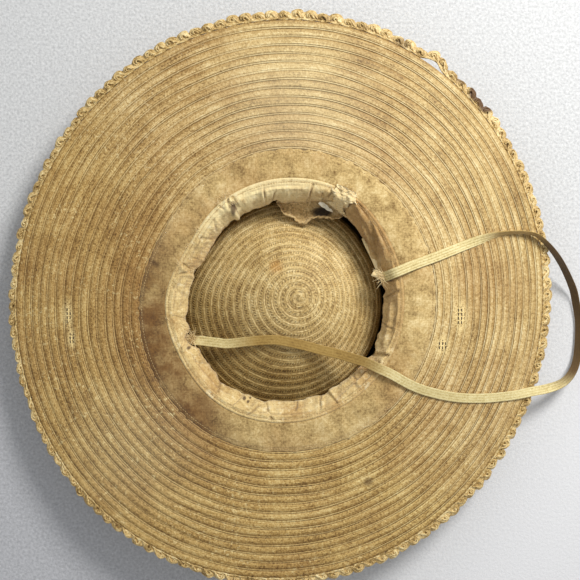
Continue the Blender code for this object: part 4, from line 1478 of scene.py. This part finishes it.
def make_frays(material):
    """Loose fibres where the band is torn and worn."""
    strands = Strands()
    for index, (angle, reach, count, length) in enumerate(FRAYS):
        place = band_place(np.array(angle), np.array(reach), FRAY_HEIGHT)
        turn = math.radians(angle)
        way = (math.cos(turn) * 0.6, math.sin(turn) * 0.6, 0.25)
        frayed(strands, place, way, count, length, FRAY_RADIUS, FRAY_SPREAD, 80 + index)
    dress(strands.piece("frayed_threads"), "scrap_tape", material)


def make_floor():
    """A pale floor with the faint grain of heavy paper, with painted shade to the lower left and painted
    light to the lower right.
    """
    mesh = bpy.data.meshes.new("floor")
    size = 4.0
    corners = [(-size, -size, 0.0), (size, -size, 0.0), (size, size, 0.0), (-size, size, 0.0)]
    mesh.from_pydata(corners, [], [(0, 1, 2, 3)])
    floor = bpy.data.objects.new("floor", mesh)
    bpy.context.scene.collection.objects.link(floor)
    look = Look("floor_look", 0.9)
    grain = look.noise(420.0, 4.0, 0.7)
    look.ramp(grain, (0.25, (180, 181, 182)), (0.75, (236, 237, 237)))
    # Painted shade of the hat towards the lower left, and painted light over its shadow at the lower right
    look.tint(look.side(-0.7, -0.7, 0.08, 0.30), 1.0, (229, 229, 233))
    look.cover(look.side(0.8, -0.6, 0.12, 0.32), 0.8, (238, 238, 240))
    floor.data.materials.append(look.finish(grain, 0.0006, 0.8))


def make_light():
    """A soft window at the upper right, and a pale sky."""
    side = math.radians(KEY_AZIMUTH)
    height = math.radians(KEY_HEIGHT)
    way = Vector((math.cos(side) * math.cos(height), math.sin(side) * math.cos(height), math.sin(height)))
    light = bpy.data.lights.new("window", 'AREA')
    light.shape = 'DISK'
    light.size = KEY_SIZE
    light.energy = KEY_POWER
    light.color = (1.0, 0.985, 0.96)
    window = bpy.data.objects.new("window", light)
    window.location = way * KEY_DISTANCE
    window.rotation_euler = way.to_track_quat('Z', 'Y').to_euler()
    bpy.context.scene.collection.objects.link(window)
    world = bpy.data.worlds.new("sky")
    world.use_nodes = True
    background = world.node_tree.nodes["Background"]
    background.inputs["Color"].default_value = (0.97, 0.985, 1.0, 1.0)
    background.inputs["Strength"].default_value = SKY_STRENGTH
    bpy.context.scene.world = world
    bpy.context.scene.view_settings.view_transform = 'Standard'


make_camera()
make_strap(tape_look())
make_crown(crown_look())
make_brim(brim_look())
make_facing(facing_look())
make_sweatband(band_look())
make_stitches(plain_cloth("thread_look", (150, 118, 68), (206, 176, 120), (240, 220, 176)))
make_trim_ribbon(trim_look("trim_ribbon_look", (104, 74, 30), (198, 164, 100), (246, 222, 162)))
make_trim_loops(trim_look("trim_loops_look", (112, 82, 34), (208, 175, 110), (252, 234, 180)))
pale = plain_cloth("scrap_tape_look", (176, 142, 84), (236, 212, 158), (255, 244, 208))
make_flap(flap_look(), plain_cloth("flap_rim_look", (120, 88, 44), (204, 172, 116), (236, 212, 160)))
make_sliver(plain_cloth("sliver_look", (206, 186, 146), (242, 232, 206), (254, 250, 236)))
# The band's rolled hem takes the paler cloth: a painted highlight on its lit roll
make_rolled_hem(pale)
make_scrap(pale)
make_strap_ends(pale)
make_frays(pale)
make_floor()
make_light()
